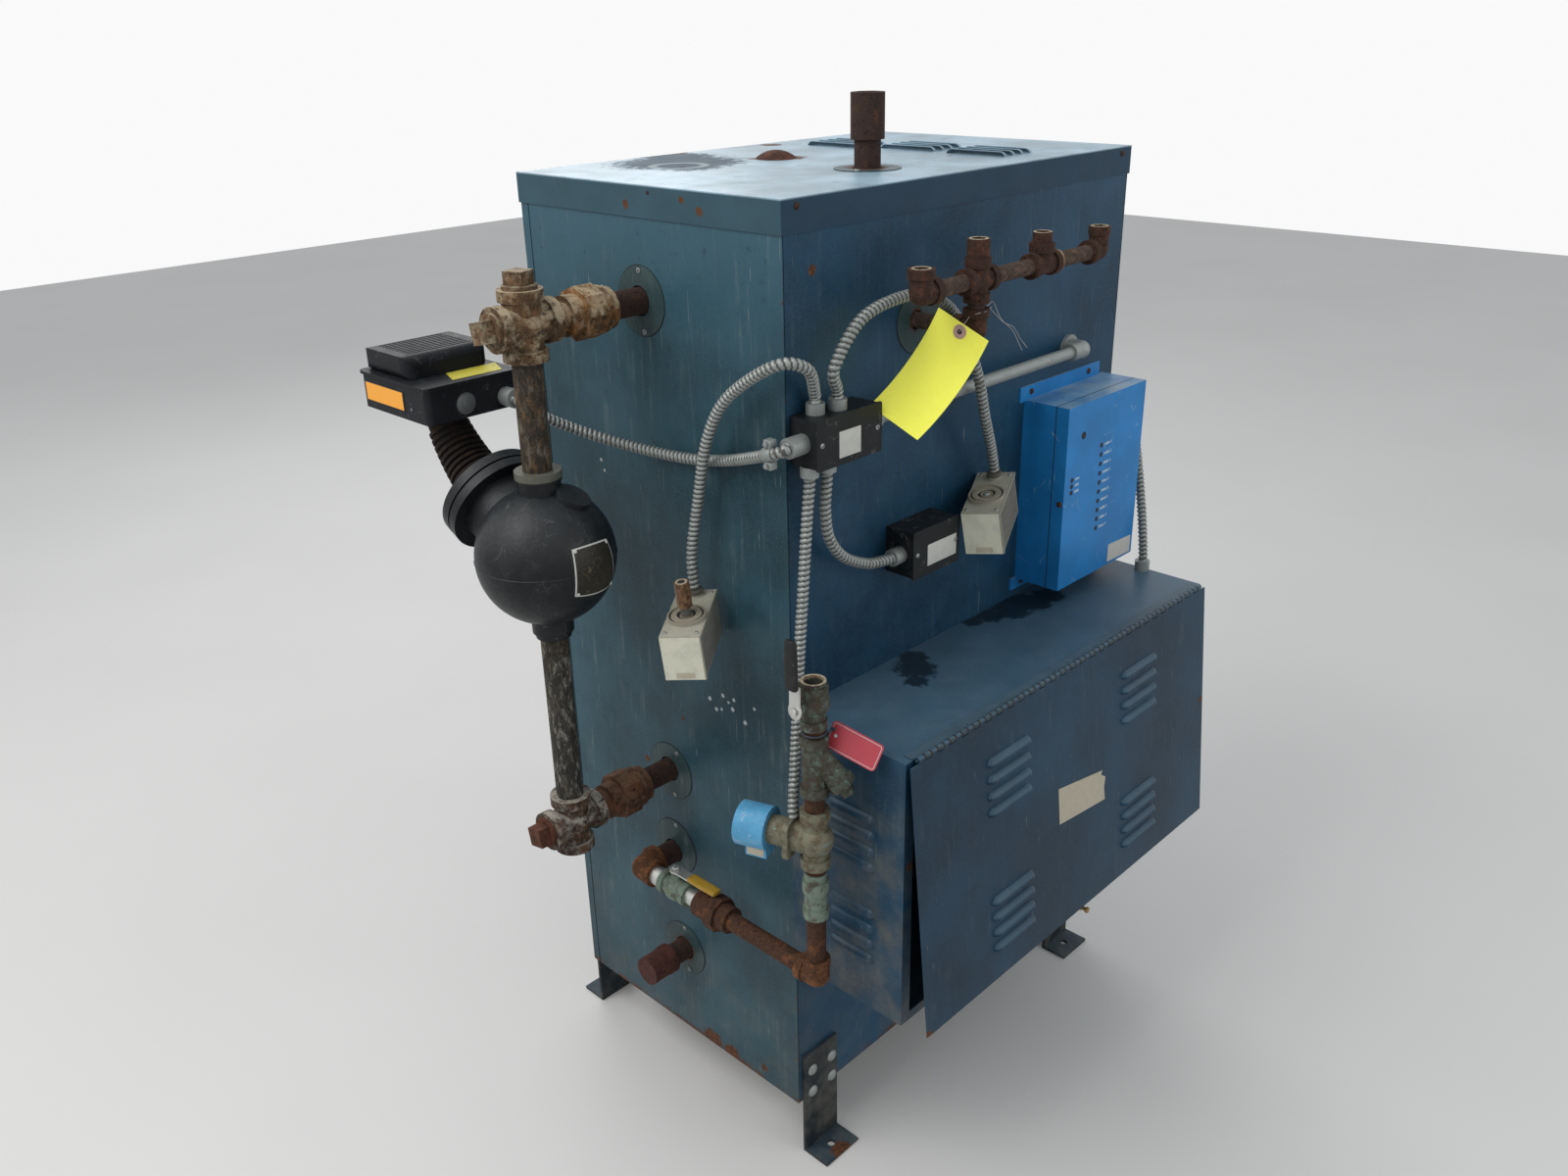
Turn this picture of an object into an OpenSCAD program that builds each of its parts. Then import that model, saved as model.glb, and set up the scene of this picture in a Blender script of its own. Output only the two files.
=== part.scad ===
// Electric steam boiler in a sheet-metal cabinet, with its pipework, float chamber and control boxes.
// Millimetres. X runs along the wide face, Y from the wide face into the cabinet, Z up from the floor.
// The origin is on the floor, at the centre of the four holes in the feet.

/* [Cabinet] */
// Cabinet width along X
cab_w = 762; // [600:1:900]
// Cabinet depth along Y
cab_d = 508; // [400:1:650]
// Height of the lid's top face above the floor
lid_top = 1465; // [1200:1:1700]
// Height of the cabinet's underside above the floor
leg_h = 104; // [60:1:200]
// Thickness of the cabinet's sheet metal
sheet_t = 1.5; // [0.8:0.1:3]
// Height of the lid's skirt
skirt_h = 41; // [20:1:80]
// How far the lid stands out past the cabinet on each side
lid_over = 2.2; // [2:0.1:6]
// Width of the back panel's return on each narrow face
return_w = 15; // [8:1:40]

/* [Feet] */
// Width of a foot bracket
foot_w = 74; // [40:1:120]
// Thickness of a foot bracket
foot_t = 5; // [3:0.5:8]
// How far a foot reaches out from the cabinet
foot_reach = 50; // [30:1:90]
// Height of a foot bracket
foot_top = 192; // [130:1:260]
// Distance of a foot's middle from the cabinet's narrow face
foot_in = 46; // [37:1:180]
// Diameter of the hole in a foot
foot_hole_d = 13; // [8:0.5:18]

/* [Pipe sizes] */
// Outside diameter of the short pipes that leave the cabinet
nipple_d = 36; // [21:0.1:48]
// Outside diameter of the water column's pipes
column_d = 38; // [21:0.1:48]
// Outside diameter of the feed pipe
feed_d = 26.7; // [17:0.1:34]
// Outside diameter of the gauge header's pipe
header_d = 21.3; // [13:0.1:27]
// Outside diameter of a flexible conduit
flex_d = 15.9; // [12:0.1:22]
// Outside diameter of the rigid conduit
rigid_d = 18; // [16:0.1:24]

/* [Water column] */
// Distance of the column's axis from the narrow face
column_out = 186; // [120:1:260]
// Height of the upper branch
upper_z = 1317; // [1200:1:1400]
// Height of the lower branch
lower_z = 603; // [450:1:800]
// Y of the column and its branches
column_y = 8; // [-40:1:40]
// Half length of a cross fitting
cross_half = 44; // [30:1:60]
// Diameter of a cross fitting's collars
cross_collar_d = 57; // [45:1:70]
// Diameter of the float chamber
chamber_d = 185; // [140:1:220]
// Height of the float chamber's middle
chamber_z = 1014; // [800:1:1200]
// Upward slope of the float chamber's flange in degrees
neck_slope = 27.5; // [10:0.5:40]
// Diameter of the float chamber's flange
flange_d = 147; // [120:1:160]
// Distance of the flange's outer face from the float chamber's middle
flange_out = 131; // [115:1:150]
// Slope of the neck where it meets the control head, in degrees
neck_end_slope = 65; // [50:1:80]
// Height of the control head's underside
head_z = 1180; // [1150:1:1250]
// Length of the control head along X
head_w = 140; // [100:1:180]
// Depth of the control head along Y
head_d = 160; // [120:1:200]

/* [Feed line] */
// Distance of the feed line from the narrow face
feed_out = 61; // [50:1:90]
// Height of the feed line
feed_z = 452; // [350:1:550]
// Y of the riser
riser_y = -353; // [-420:1:-300]
// Height of the inlet's open top
inlet_top = 906; // [850:1:1000]
// Height of the inlet valve's body
inlet_h = 66; // [50:1:90]
// Height of the strainer's underside
strainer_z = 742; // [700:1:780]
// Height of the strainer's body
strainer_h = 86; // [60:1:100]
// Height of the solenoid valve's underside
solenoid_z = 632; // [600:1:660]
// Height of the solenoid valve's body
solenoid_h = 86; // [60:1:100]
// Height of the check fitting's underside
check_z = 551; // [520:1:580]
// Height of the check fitting
check_h = 71; // [50:1:90]
// Y of the feed valve's lever pivot
feed_valve_y = -66; // [-80:1:-50]

/* [Steam outlet] */
// X of the steam outlet
steam_x = -84; // [-200:1:100]
// Y of the steam outlet
steam_y = -129; // [-200:1:0]
// Height of the coupling's open end above the lid
steam_rise = 97; // [60:1:160]
// Diameter of the steam coupling
coupling_d = 46; // [38:1:60]
// Diameter of the coupling's bore
coupling_bore = 33; // [24:0.5:40]

/* [Gauge header] */
// Distance of the header from the wide face
header_out = 96; // [70:1:140]
// Height of the header
header_z = 1348; // [1250:1:1420]
// X of the header's cross
header_cross_x = -129; // [-200:1:0]
// Diameter of the header's open ends
header_bore = 18; // [12:0.5:20]
// X of the header's left end
header_x0 = -242; // [-300:1:-200]
// X of the header's tee
header_tee_x = 12; // [-40:1:60]
// X of the header's right end
header_x1 = 152; // [110:1:200]
// How far the header's drop elbow lies below it
header_drop = 63; // [58:1:90]

/* [Lower box] */
// Height of the lower box's top
box_top = 799; // [650:1:900]
// Height of the lower box's underside
box_bottom = 383; // [250:1:500]
// How far the lower box stands out from the wide face
box_out = 206; // [150:1:260]
// How far the lower box reaches past the cabinet at its left end
box_over = 2; // [0:1:4]
// How far the lower box stops short of the cabinet at its right end
box_short = 12; // [4:1:80]
// Angle at which the door hangs open
door_ajar = 5.4; // [0:0.1:15]
// How much lower the box reaches than its door
door_short = 5; // [2:1:20]
// Length of a hinge knuckle with its gap
knuckle = 12.7; // [10:0.1:25.4]

/* [Control box] */
// X of the control box's left side
ctl_x0 = 134; // [50:1:160]
// Width of the control box
ctl_w = 218; // [150:1:240]
// Height of the control box's underside above the floor
ctl_z0 = 829; // [810:1:900]
// Height of the control box
ctl_h = 291; // [200:1:320]
// Depth of the control box
ctl_d = 80; // [50:1:120]
// Depth of the control box's cover
cover_d = 22; // [10:1:40]

/* [Louvres] */
// Length of a louvre in the door
door_louvre = 102; // [60:1:140]
// Length of a louvre in the lower box's ends
end_louvre = 84; // [50:1:120]
// Distance between two louvres
louvre_pitch = 25; // [20:0.5:35]
// How far a louvre stands out
louvre_out = 7; // [4:0.5:10]

/* [Junction boxes and rigid conduit] */
// X of the left junction box's left side
jb1_x = -375; // [-380:1:-340]
// Underside of the left junction box
jb1_z = 1145; // [1100:1:1200]
// Width of the left junction box
jb1_w = 121; // [90:1:140]
// X of the right junction box's left side
jb2_x = -188; // [-220:1:-160]
// Underside of the right junction box
jb2_z = 942; // [900:1:980]
// Width of the right junction box
jb2_w = 102; // [80:1:120]
// Height of the rigid conduit
rigid_z = 1180; // [1165:1:1190]
// X where the rigid conduit turns into the wall
rigid_x1 = 244; // [150:1:300]

/* [Tags] */
// Width of the yellow tag
tag_w = 79.4; // [60:0.1:100]
// Length of the yellow tag
tag_len = 158.8; // [120:0.1:200]
// Radius to which the yellow tag is bent
tag_bend = 143; // [100:1:400]

/* [Hidden] */
tag_turn = tag_len / tag_bend * 180 / PI;
x0 = -cab_w / 2;
x1 = cab_w / 2;
y0 = -cab_d / 2;
y1 = cab_d / 2;
z1 = lid_top - sheet_t;
s = sheet_t;
foot_x = x1 - foot_in;
box_x0 = x0 - box_over;
box_x1 = x1 - box_short;
door_h = box_top - box_bottom - door_short;
hinge_x = box_x0 + 16;
hinge_pairs = floor((box_x1 - box_x0 - 30) / (2 * knuckle));
hinge_x1 = hinge_x + (2 * hinge_pairs + 1) * knuckle;
col_x = x0 - column_out;
feed_x = x0 - feed_out;
hdr_y = y0 - header_out;
feed_wall_y = 10;
drain_y = -3;
drain_z = 269;
vessel_r = 200;
bend_r = (head_z - chamber_z - flange_out * sin(neck_slope)) / (cos(neck_slope) - cos(neck_end_slope));
bend_y = column_y + flange_out * cos(neck_slope) - bend_r * sin(neck_slope);
bend_z = chamber_z + flange_out * sin(neck_slope) + bend_r * cos(neck_slope);
head_y = bend_y + bend_r * sin(neck_end_slope) - 92;
head_x = col_x - 73;
boss_x = -215;
box_front = y0 - box_out;
hinge_y = box_front + 1;
hinge_z = box_top + 1;
inlet_z = inlet_top - inlet_h;
handle_z = inlet_top - 31;
stem_z = solenoid_z + 40;
conduit_y = y0 - 24;
door_louvre_x = [-178, 163];
door_louvre_z = [-59, -275];
end_louvre_z = [99, 249];
cock_x = 18;
cock_z = box_bottom - 9;

// Points that the flexible conduits pass through
route_head = [[-401.3, -276, 1177], [-410, -275, 1175], [-412, -250, 1166], [-393, -160, 1136], [-392, -80, 1122],
    [-410, 14, 1124], [-446, 70, 1142], [-490, 94, 1168], [-516, 100, 1190], [-520, 110.8, 1196]];
route_left_control = [[-345, -271, 1222.3], [-347, -272, 1234], [-376, -287, 1272], [-410, -267, 1279],
    [-416, -190, 1228], [-416, -149, 1165], [-414, -125, 1080], [-418, -112, 1004], [-418.6, -114.3, 952]];
route_right_control = [[-312, -278, 1222.3], [-314, -279, 1234], [-328, -288, 1266], [-286, -296, 1319],
    [-207, -300, 1334], [-148, -300, 1321], [-100, -300, 1287], [-58, -304, 1209], [-30, -300, 1140],
    [6, -289, 1078], [18, -286.4, 1044.7]];
route_solenoid = [[-364, -278, 1132.7], [-365, -278, 1120], [-372, -280, 1080], [-387, -286, 992],
    [-405, -294, 900], [-427, -307, 795], [-448, -320, 712], [-450, -322, 699.5]];
route_box = [[-334, -280, 1132.7], [-335, -280, 1120], [-338, -280, 1083], [-331, -280, 1042], [-303, -280, 1007],
    [-256, -280, 983], [-218, -280, 976], [-206.3, -280, 975]];
route_heater = [[368.3, -300, 1040], [375, -300, 1037], [381, -310, 1005], [372, -336, 900], [363, -351, 830],
    [362, -352, 815.3]];
$fn = 48;

// Round bars along each axis
module bar_x(a, b, y, z, d) translate([a, y, z]) rotate([0, 90, 0]) cylinder(h = b - a, d = d);
module bar_y(a, b, x, z, d) translate([x, b, z]) rotate([90, 0, 0]) cylinder(h = b - a, d = d);
module bar_z(a, b, x, y, d) translate([x, y, a]) cylinder(h = b - a, d = d);
module block(p, q) translate(p) cube(q - p);

// A tube that follows a smooth line through the given points
function spline(p, i, t) =
    let (a = p[max(i - 1, 0)], b = p[i], c = p[i + 1], d = p[min(i + 2, len(p) - 1)])
    0.5 * (2 * b + (c - a) * t + (2 * a - 5 * b + 4 * c - d) * t * t + (3 * b - a - 3 * c + d) * t * t * t);
function smooth(p, n) = [for (i = [0:len(p) - 2]) for (k = [0:n - 1]) spline(p, i, k / n), p[len(p) - 1]];
function unit(v) = v / norm(v);
module sweep(p, d, first, last, sides = 12, ref = [0.31, 0.42, 0.85]) {
    n = len(p);
    dirs = [for (i = [0:n - 1]) i == 0 ? unit(first) : i == n - 1 ? unit(last) : unit(p[i + 1] - p[i - 1])];
    rings = [for (i = [0:n - 1])
        let (u = unit(cross(dirs[i], ref)), v = cross(dirs[i], u))
        [for (k = [0:sides - 1]) p[i] + d / 2 * (cos(360 * k / sides) * u + sin(360 * k / sides) * v)]];
    points = [for (r = rings) for (q = r) q];
    faces = concat(
        [[for (k = [sides - 1:-1:0]) k]],
        [for (i = [0:n - 2]) for (k = [0:sides - 1])
            let (a = i * sides + k, b = i * sides + (k + 1) % sides)
            each [[a, b, b + sides], [a, b + sides, a + sides]]],
        [[for (k = [0:sides - 1]) (n - 1) * sides + k]]);
    polyhedron(points = points, faces = faces, convexity = 6);
}

// Pressed louvre standing out along -Y: a round-ended hood, open downwards, with its length along X
module capsule(len, r) {
    rotate([0, 90, 0]) translate([0, 0, r - len / 2]) cylinder(h = len - 2 * r, r = r, $fn = 32);
    for (k = [-1, 1]) translate([k * (len / 2 - r), 0, 0]) sphere(r = r, $fn = 32);
}
module louvre(len, out = louvre_out, t = 1.2) {
    r = out + 4;
    translate([0, 4, -r]) intersection() {
        difference() {
            capsule(len, r);
            capsule(len - 2 * t, r - t);
        }
        translate([-len / 2, -r - 4, -1]) cube([len, r, r + 2]);
    }
}
module louvre_slot(len, out = louvre_out) translate([-len / 2 + out, -5, -out - 4.6]) cube([len - 2 * out, 10, out]);

// Cabinet
module base() color([0.22, 0.36, 0.42]) difference() {
    block([x0 + s, y0 + s, leg_h], [x1 - s, y1 - s, leg_h + 26]);
    block([x0 + 2 * s, y0 + 2 * s, leg_h + s], [x1 - 2 * s, y1 - 2 * s, leg_h + 40]);
}
module front_panel() color([0.15, 0.25, 0.35]) difference() {
    block([x0 + s + 1.2, y0, leg_h], [x1 - s - 1.2, y0 + s, z1]);
    bar_y(y0 - 1, y0 + s + 1, header_cross_x, header_z - header_drop, header_d + 12);
}
module narrow_panels() color([0.24, 0.34, 0.38]) {
    difference() {
        block([x0, y0, leg_h], [x0 + s, y1 - return_w - 2, z1]);
        for (h = [[column_y, upper_z], [column_y, lower_z], [feed_wall_y, feed_z], [drain_y, drain_z]])
            bar_x(x0 - 1, x0 + s + 1, h[0], h[1], nipple_d + 8);
    }
    block([x1 - s, y0, leg_h], [x1, y1 - return_w - 2, z1]);
}
module back_panel() color([0.24, 0.34, 0.38]) difference() {
    block([x0, y1 - return_w, leg_h], [x1, y1, z1]);
    block([x0 + s, y1 - return_w - 1, leg_h - 1], [x1 - s, y1 - s, z1 + 1]);
}
module lid_louvres(cut) for (g = [[135, 122], [157, -11], [150, -144]], i = [0:3])
    translate([g[0] + i * 21, g[1], lid_top]) rotate([0, 0, -90]) rotate([-90, 0, 0])
        if (cut) louvre_slot(108); else louvre(108);
module lid() color([0.45, 0.58, 0.68]) {
    difference() {
        block([x0 - lid_over, y0 - lid_over, lid_top - skirt_h], [x1 + lid_over, y1 + lid_over, lid_top]);
        block([x0 - lid_over + s, y0 - lid_over + s, lid_top - skirt_h - 1],
            [x1 + lid_over - s, y1 + lid_over - s, lid_top - s]);
        bar_z(lid_top - 5, lid_top + 5, steam_x, steam_y, nipple_d + 8);
        lid_louvres(true);
    }
    lid_louvres(false);
}
module vessel() color([0.3, 0.3, 0.32]) {
    difference() {
        bar_z(leg_h + s, 1385, 0, 0, 2 * vessel_r);
        bar_z(leg_h + s - 1, 1379, 0, 0, 2 * vessel_r - 12);
    }
    for (h = [[column_y, upper_z], [column_y, lower_z], [feed_wall_y, feed_z], [drain_y, drain_z]])
        difference() {
            bar_x(boss_x, -180, h[0], h[1], nipple_d + 14);
            bar_z(0, 1379, 0, 0, 2 * vessel_r - 12);
        }
    difference() {
        bar_y(-215, -120, header_cross_x, header_z - header_drop, header_d + 14);
        bar_z(0, 1379, 0, 0, 2 * vessel_r - 12);
    }
}
module feet() color([0.1, 0.11, 0.14]) for (m = [0, 1], n = [0, 1]) mirror([m, 0, 0]) mirror([0, n, 0]) {
    block([foot_x - foot_w / 2, y0 - foot_t, 0], [foot_x + foot_w / 2, y0, foot_top]);
    difference() {
        block([foot_x - foot_w / 2, y0 - foot_reach, 0], [foot_x + foot_w / 2, y0 - foot_t + 1, foot_t]);
        bar_z(-1, foot_t + 1, foot_x, y0 - 25, foot_hole_d);
    }
}
module escutcheons() color([0.27, 0.36, 0.38]) {
    for (h = [[column_y - 3, upper_z, column_y, upper_z], [column_y - 4, lower_z - 2, column_y, lower_z],
        [feed_wall_y - 6, feed_z + 12, feed_wall_y, feed_z],
        [drain_y, drain_z, drain_y, drain_z]])
        difference() {
            bar_x(x0 - 1.2, x0, h[0], h[1], 92);
            bar_x(x0 - 3, x0 + 3, h[2], h[3], nipple_d + 4);
        }
    difference() {
        bar_z(lid_top, lid_top + 1.2, steam_x, steam_y, 92);
        bar_z(lid_top - 1, lid_top + 3, steam_x, steam_y, nipple_d + 4);
    }
    difference() {
        bar_y(y0 - 1.2, y0, header_cross_x + 2, header_z - header_drop - 2, 84);
        bar_y(y0 - 3, y0 + 3, header_cross_x, header_z - header_drop, header_d + 4);
    }
}
module lid_plug() color([0.5, 0.3, 0.18]) translate([-55, 72, lid_top]) difference() {
    translate([0, 0, -34]) sphere(r = 46, $fn = 64);
    translate([0, 0, -100]) cube([200, 200, 200], center = true);
}

// Steam outlet
module steam_nipple() color([0.3, 0.2, 0.17])
    bar_z(1385, lid_top + 38, steam_x, steam_y, nipple_d);
module steam_coupling() color([0.33, 0.2, 0.16]) difference() {
    bar_z(lid_top + 38, lid_top + steam_rise, steam_x, steam_y, coupling_d);
    bar_z(lid_top + steam_rise - 30, lid_top + steam_rise + 1, steam_x, steam_y, coupling_bore);
}

// Water column
module wall_nipples() color([0.25, 0.16, 0.13]) {
    bar_x(x0 - 55, boss_x, column_y, upper_z, nipple_d);
    bar_x(x0 - 55, boss_x, column_y, lower_z, nipple_d);
    bar_x(feed_x + 26, boss_x, feed_wall_y, feed_z, nipple_d);
    bar_x(x0 - 34, boss_x, drain_y, drain_z, nipple_d);
}
module pipe_union(y, z) {
    a = col_x + cross_half;
    bar_x(a, a + 16, y, z, column_d);
    bar_x(a + 16, a + 34, y, z, 52);
    translate([a + 34, y, z]) rotate([0, 90, 0]) cylinder(h = 30, d = 70, $fn = 8);
    bar_x(a + 64, a + 74, y, z, 62);
    bar_x(a + 74, x0 - 55, y, z, 55);
}
module column_unions() color([0.45, 0.3, 0.18]) {
    pipe_union(column_y, upper_z);
    pipe_union(column_y, lower_z);
}
module cross_fitting(z) {
    bar_x(col_x - cross_half, col_x + cross_half, column_y, z, 48);
    bar_z(z - cross_half, z + cross_half, col_x, column_y, 48);
    sphere_at([col_x, column_y, z], 54);
    for (k = [-1, 1]) {
        bar_x(col_x + k * (cross_half - 7) - 7, col_x + k * (cross_half - 7) + 7, column_y, z, cross_collar_d);
        bar_z(z + k * (cross_half - 7) - 7, z + k * (cross_half - 7) + 7, col_x, column_y, cross_collar_d);
    }
}
module sphere_at(p, d) translate(p) sphere(d = d);
module column_crosses() color([0.5, 0.42, 0.3]) {
    cross_fitting(upper_z);
    cross_fitting(lower_z);
}
module square_plug() {
    cylinder(h = 5, d = 44);
    translate([-13.5, -13.5, 5]) cube([27, 27, 17]);
}
module column_plugs() color([0.4, 0.3, 0.22]) {
    translate([col_x, column_y, upper_z + cross_half]) rotate([0, 0, 20]) square_plug();
    for (z = [upper_z, lower_z])
        translate([col_x - cross_half, column_y, z]) rotate([0, -90, 0]) rotate([0, 0, 12]) square_plug();
}
module column_pipes() color([0.36, 0.32, 0.26]) {
    bar_z(chamber_z + chamber_d / 2 + 25, upper_z - cross_half, col_x, column_y, column_d);
    bar_z(lower_z + cross_half, chamber_z - chamber_d / 2 - 24, col_x, column_y, column_d);
}
module neck_frame() translate([col_x, column_y, chamber_z]) rotate([neck_slope - 90, 0, 0]) children();
module float_chamber() color([0.08, 0.09, 0.1]) {
    translate([col_x, column_y, chamber_z]) sphere(d = chamber_d, $fn = 96);
    bar_z(chamber_z, chamber_z + chamber_d / 2 + 12, col_x, column_y, 57);
    bar_z(chamber_z + chamber_d / 2 + 12, chamber_z + chamber_d / 2 + 25, col_x, column_y, 61);
    bar_z(chamber_z - chamber_d / 2 - 24, chamber_z, col_x, column_y, 48);
    bar_z(chamber_z - chamber_d / 2 - 16, chamber_z, col_x, column_y, 56);
    neck_frame() cylinder(h = flange_out - 20, d = flange_d - 38);
    neck_frame() translate([0, 0, flange_out - 29]) cylinder(h = 13, d = flange_d);
    translate([col_x, column_y, chamber_z]) rotate([0, 28, -58]) cylinder(h = chamber_d / 2 + 5, d = 48);
}
module float_flange() color([0.09, 0.1, 0.11]) neck_frame() {
    translate([0, 0, flange_out - 16]) cylinder(h = 3, d = flange_d - 8);
    translate([0, 0, flange_out - 13]) cylinder(h = 13, d = flange_d);
}
// Ribbed neck that bends up from the flange to the control head
module float_neck() color([0.16, 0.12, 0.1]) {
    turn = neck_end_slope - neck_slope;
    difference() {
        translate([col_x, bend_y, bend_z]) rotate([90, 0, 90]) rotate([0, 0, neck_slope - 90]) {
            rotate_extrude(angle = turn + 6) translate([bend_r, 0]) circle(r = 26);
            for (i = [0:11]) rotate([0, 0, turn * (i * 0.066)]) translate([bend_r, 0, 0])
                rotate([-90, 0, 0]) cylinder(h = 4.5, r = 38 - i * 0.8);
        }
        translate([col_x - 60, head_y, head_z]) cube([120, head_d, 60]);
    }
}
module rounded(w, d, h, r) translate([r, r, 0]) linear_extrude(h) {
    translate([0, -r]) square([w - 2 * r, d]);
    translate([-r, 0]) square([w, d - 2 * r]);
    for (x = [0, w - 2 * r], y = [0, d - 2 * r]) translate([x, y]) circle(r = r);
}
// Control head: a base with round corners, and a domed cover with slots on a wide rim
module head_base() color([0.07, 0.07, 0.08])
    translate([head_x, head_y, head_z]) rounded(head_w, head_d, 46, 8);
module head_cover() color([0.08, 0.08, 0.09]) translate([head_x, head_y, head_z + 46]) {
    translate([-3, -3, 0]) rounded(head_w + 6, head_d + 6, 4, 10);
    difference() {
        intersection() {
            translate([5, 50, 4]) rounded(head_w - 12, head_d - 54, 31, 14);
            translate([5, head_d - 4, 4]) rotate([90, 0, 0]) rounded(head_w - 12, 45, head_d - 54, 12);
            translate([5, 50, -10]) rotate([90, 0, 90]) rounded(head_d - 54, 45, head_w - 12, 14);
        }
        for (i = [0:8]) translate([20, 66 + i * 8.6, 28]) cube([head_w - 42, 4, 12]);
    }
}

// Feed line
module elbow(p, d1, d2, body, c1, c2, l1, l2) {
    // d1 and d2 are the directions of the two mouths
    translate(p) sphere(d = body);
    for (k = [[d1, c1, l1], [d2, c2, l2]]) {
        r = k[0];
        translate(p) rotate(r) cylinder(h = k[2], d = body);
        translate(p) rotate(r) translate([0, 0, k[2] - 12]) cylinder(h = 12, d = k[1]);
    }
}
module feed_elbows() color([0.5, 0.28, 0.18]) {
    elbow([feed_x, feed_wall_y, feed_z], [0, 90, 0], [90, 0, 0], 40, 50, 42, 26, 28);
    elbow([feed_x, riser_y, feed_z], [-90, 0, 0], [0, 0, 0], 36, 40, 38, 28, 28);
}
module feed_pipe() color([0.4, 0.24, 0.18]) {
    bar_y(riser_y + 28, feed_valve_y - 119, feed_x, feed_z, feed_d);
    for (z = [[feed_z + 28, check_z], [check_z + check_h, solenoid_z], [solenoid_z + solenoid_h, strainer_z],
        [strainer_z + strainer_h, inlet_z]])
        bar_z(z[0], z[1], feed_x, riser_y, feed_d);
}
module bright_nipples() color([0.7, 0.7, 0.7]) {
    bar_y(feed_valve_y + 28, feed_wall_y - 28, feed_x, feed_z, 30);
    bar_y(feed_valve_y - 52, feed_valve_y - 29, feed_x, feed_z, feed_d);
}
module feed_valve() color([0.45, 0.5, 0.46]) {
    bar_y(feed_valve_y - 29, feed_valve_y + 28, feed_x, feed_z, 32);
    bar_y(feed_valve_y - 29, feed_valve_y - 19, feed_x, feed_z, 38);
    bar_y(feed_valve_y + 18, feed_valve_y + 28, feed_x, feed_z, 38);
    sphere_at([feed_x, feed_valve_y, feed_z], 41);
    bar_z(feed_z, feed_z + 29, feed_x, feed_valve_y, 16);
}
// Lever frame: the stem along Z, the lever along X
module lever(plate, reach, width, lift) {
    cylinder(h = 9, d = 14);
    translate([0, 0, 1.6]) linear_extrude(3) {
        circle(d = width + 2);
        translate([0, -width / 2 + 1]) square([plate, width - 2]);
    }
    translate([plate - 6, -width / 2, lift]) rounded(reach - plate + 6, width, 8, 5);
}
module feed_lever() color([0.8, 0.68, 0.2])
    translate([feed_x, feed_valve_y, feed_z + 29.4]) rotate([0, 0, -90]) lever(42, 90, 19, 0.5);
module feed_union() color([0.42, 0.25, 0.18]) {
    bar_y(feed_valve_y - 80, feed_valve_y - 52, feed_x, feed_z, 43);
    translate([feed_x, feed_valve_y - 80, feed_z]) rotate([90, 0, 0]) cylinder(h = 20, d = 54, $fn = 8);
    bar_y(feed_valve_y - 119, feed_valve_y - 100, feed_x, feed_z, 40);
}
module check_fitting() color([0.33, 0.4, 0.35]) {
    bar_z(check_z, check_z + check_h, feed_x, riser_y, 31);
    bar_z(check_z, check_z + 15, feed_x, riser_y, 35);
    bar_z(check_z + check_h - 30, check_z + check_h - 12, feed_x, riser_y, 36);
}
module stem_frame() translate([feed_x, riser_y, stem_z]) rotate([0, 0, 19.6]) rotate([-90, 0, 0]) children();
module solenoid_valve() color([0.4, 0.34, 0.26]) {
    bar_z(solenoid_z, solenoid_z + solenoid_h, feed_x, riser_y, 34);
    bar_z(solenoid_z, solenoid_z + 14, feed_x, riser_y, 40);
    bar_z(solenoid_z + solenoid_h - 14, solenoid_z + solenoid_h, feed_x, riser_y, 40);
    sphere_at([feed_x, riser_y, stem_z], 50);
    stem_frame() {
        cylinder(h = 32, d = 44);
        translate([-27, -27, 28]) rounded(54, 54, 8, 9);
        translate([0, 0, 35]) cylinder(h = 28, d = 40);
    }
}
// Coil with a flat-bottomed lower part
module solenoid_coil() color([0.2, 0.55, 0.75]) stem_frame() translate([0, 0, 63]) {
    cylinder(h = 44, d = 60);
    translate([-19, 0, 0]) cube([38, 36, 30]);
    translate([0, 0, 44]) cylinder(h = 4, d = 30);
}
module strainer() color([0.35, 0.42, 0.37]) {
    bar_z(strainer_z, strainer_z + strainer_h, feed_x, riser_y, 32);
    bar_z(strainer_z, strainer_z + 13, feed_x, riser_y, 38);
    bar_z(strainer_z + strainer_h - 13, strainer_z + strainer_h, feed_x, riser_y, 38);
    translate([feed_x, riser_y, strainer_z + strainer_h - 22]) rotate([0, 0, -47.6]) rotate([0, 145, 0]) {
        cylinder(h = 62, d1 = 30, d2 = 34);
        translate([0, 0, 50]) cylinder(h = 12, d = 40, $fn = 6);
        translate([-8, -8, 62]) cube([16, 16, 15]);
    }
}
module inlet_valve() color([0.32, 0.37, 0.34]) difference() {
    union() {
        bar_z(inlet_z, inlet_top, feed_x, riser_y, 30);
        bar_z(inlet_z, inlet_z + 12, feed_x, riser_y, 35);
        bar_z(inlet_top - 22, inlet_top - 6, feed_x, riser_y, 38);
        bar_z(inlet_top - 6, inlet_top, feed_x, riser_y, 33);
        sphere_at([feed_x, riser_y, handle_z], 42);
        translate([feed_x, riser_y, handle_z]) rotate([0, -90, 0]) cylinder(h = 30, d = 16);
    }
    bar_z(inlet_top - 22, inlet_top + 1, feed_x, riser_y, feed_d);
}
module inlet_lever() color([0.08, 0.08, 0.09])
    translate([feed_x - 30.4, riser_y, handle_z]) rotate([0, -90, 0]) lever(40, 99, 20, 4.6);
module drain_cap() color([0.42, 0.24, 0.18]) {
    bar_x(x0 - 82, x0 - 34, drain_y, drain_z, 46);
    bar_x(x0 - 46, x0 - 34, drain_y, drain_z, 49);
}

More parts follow.
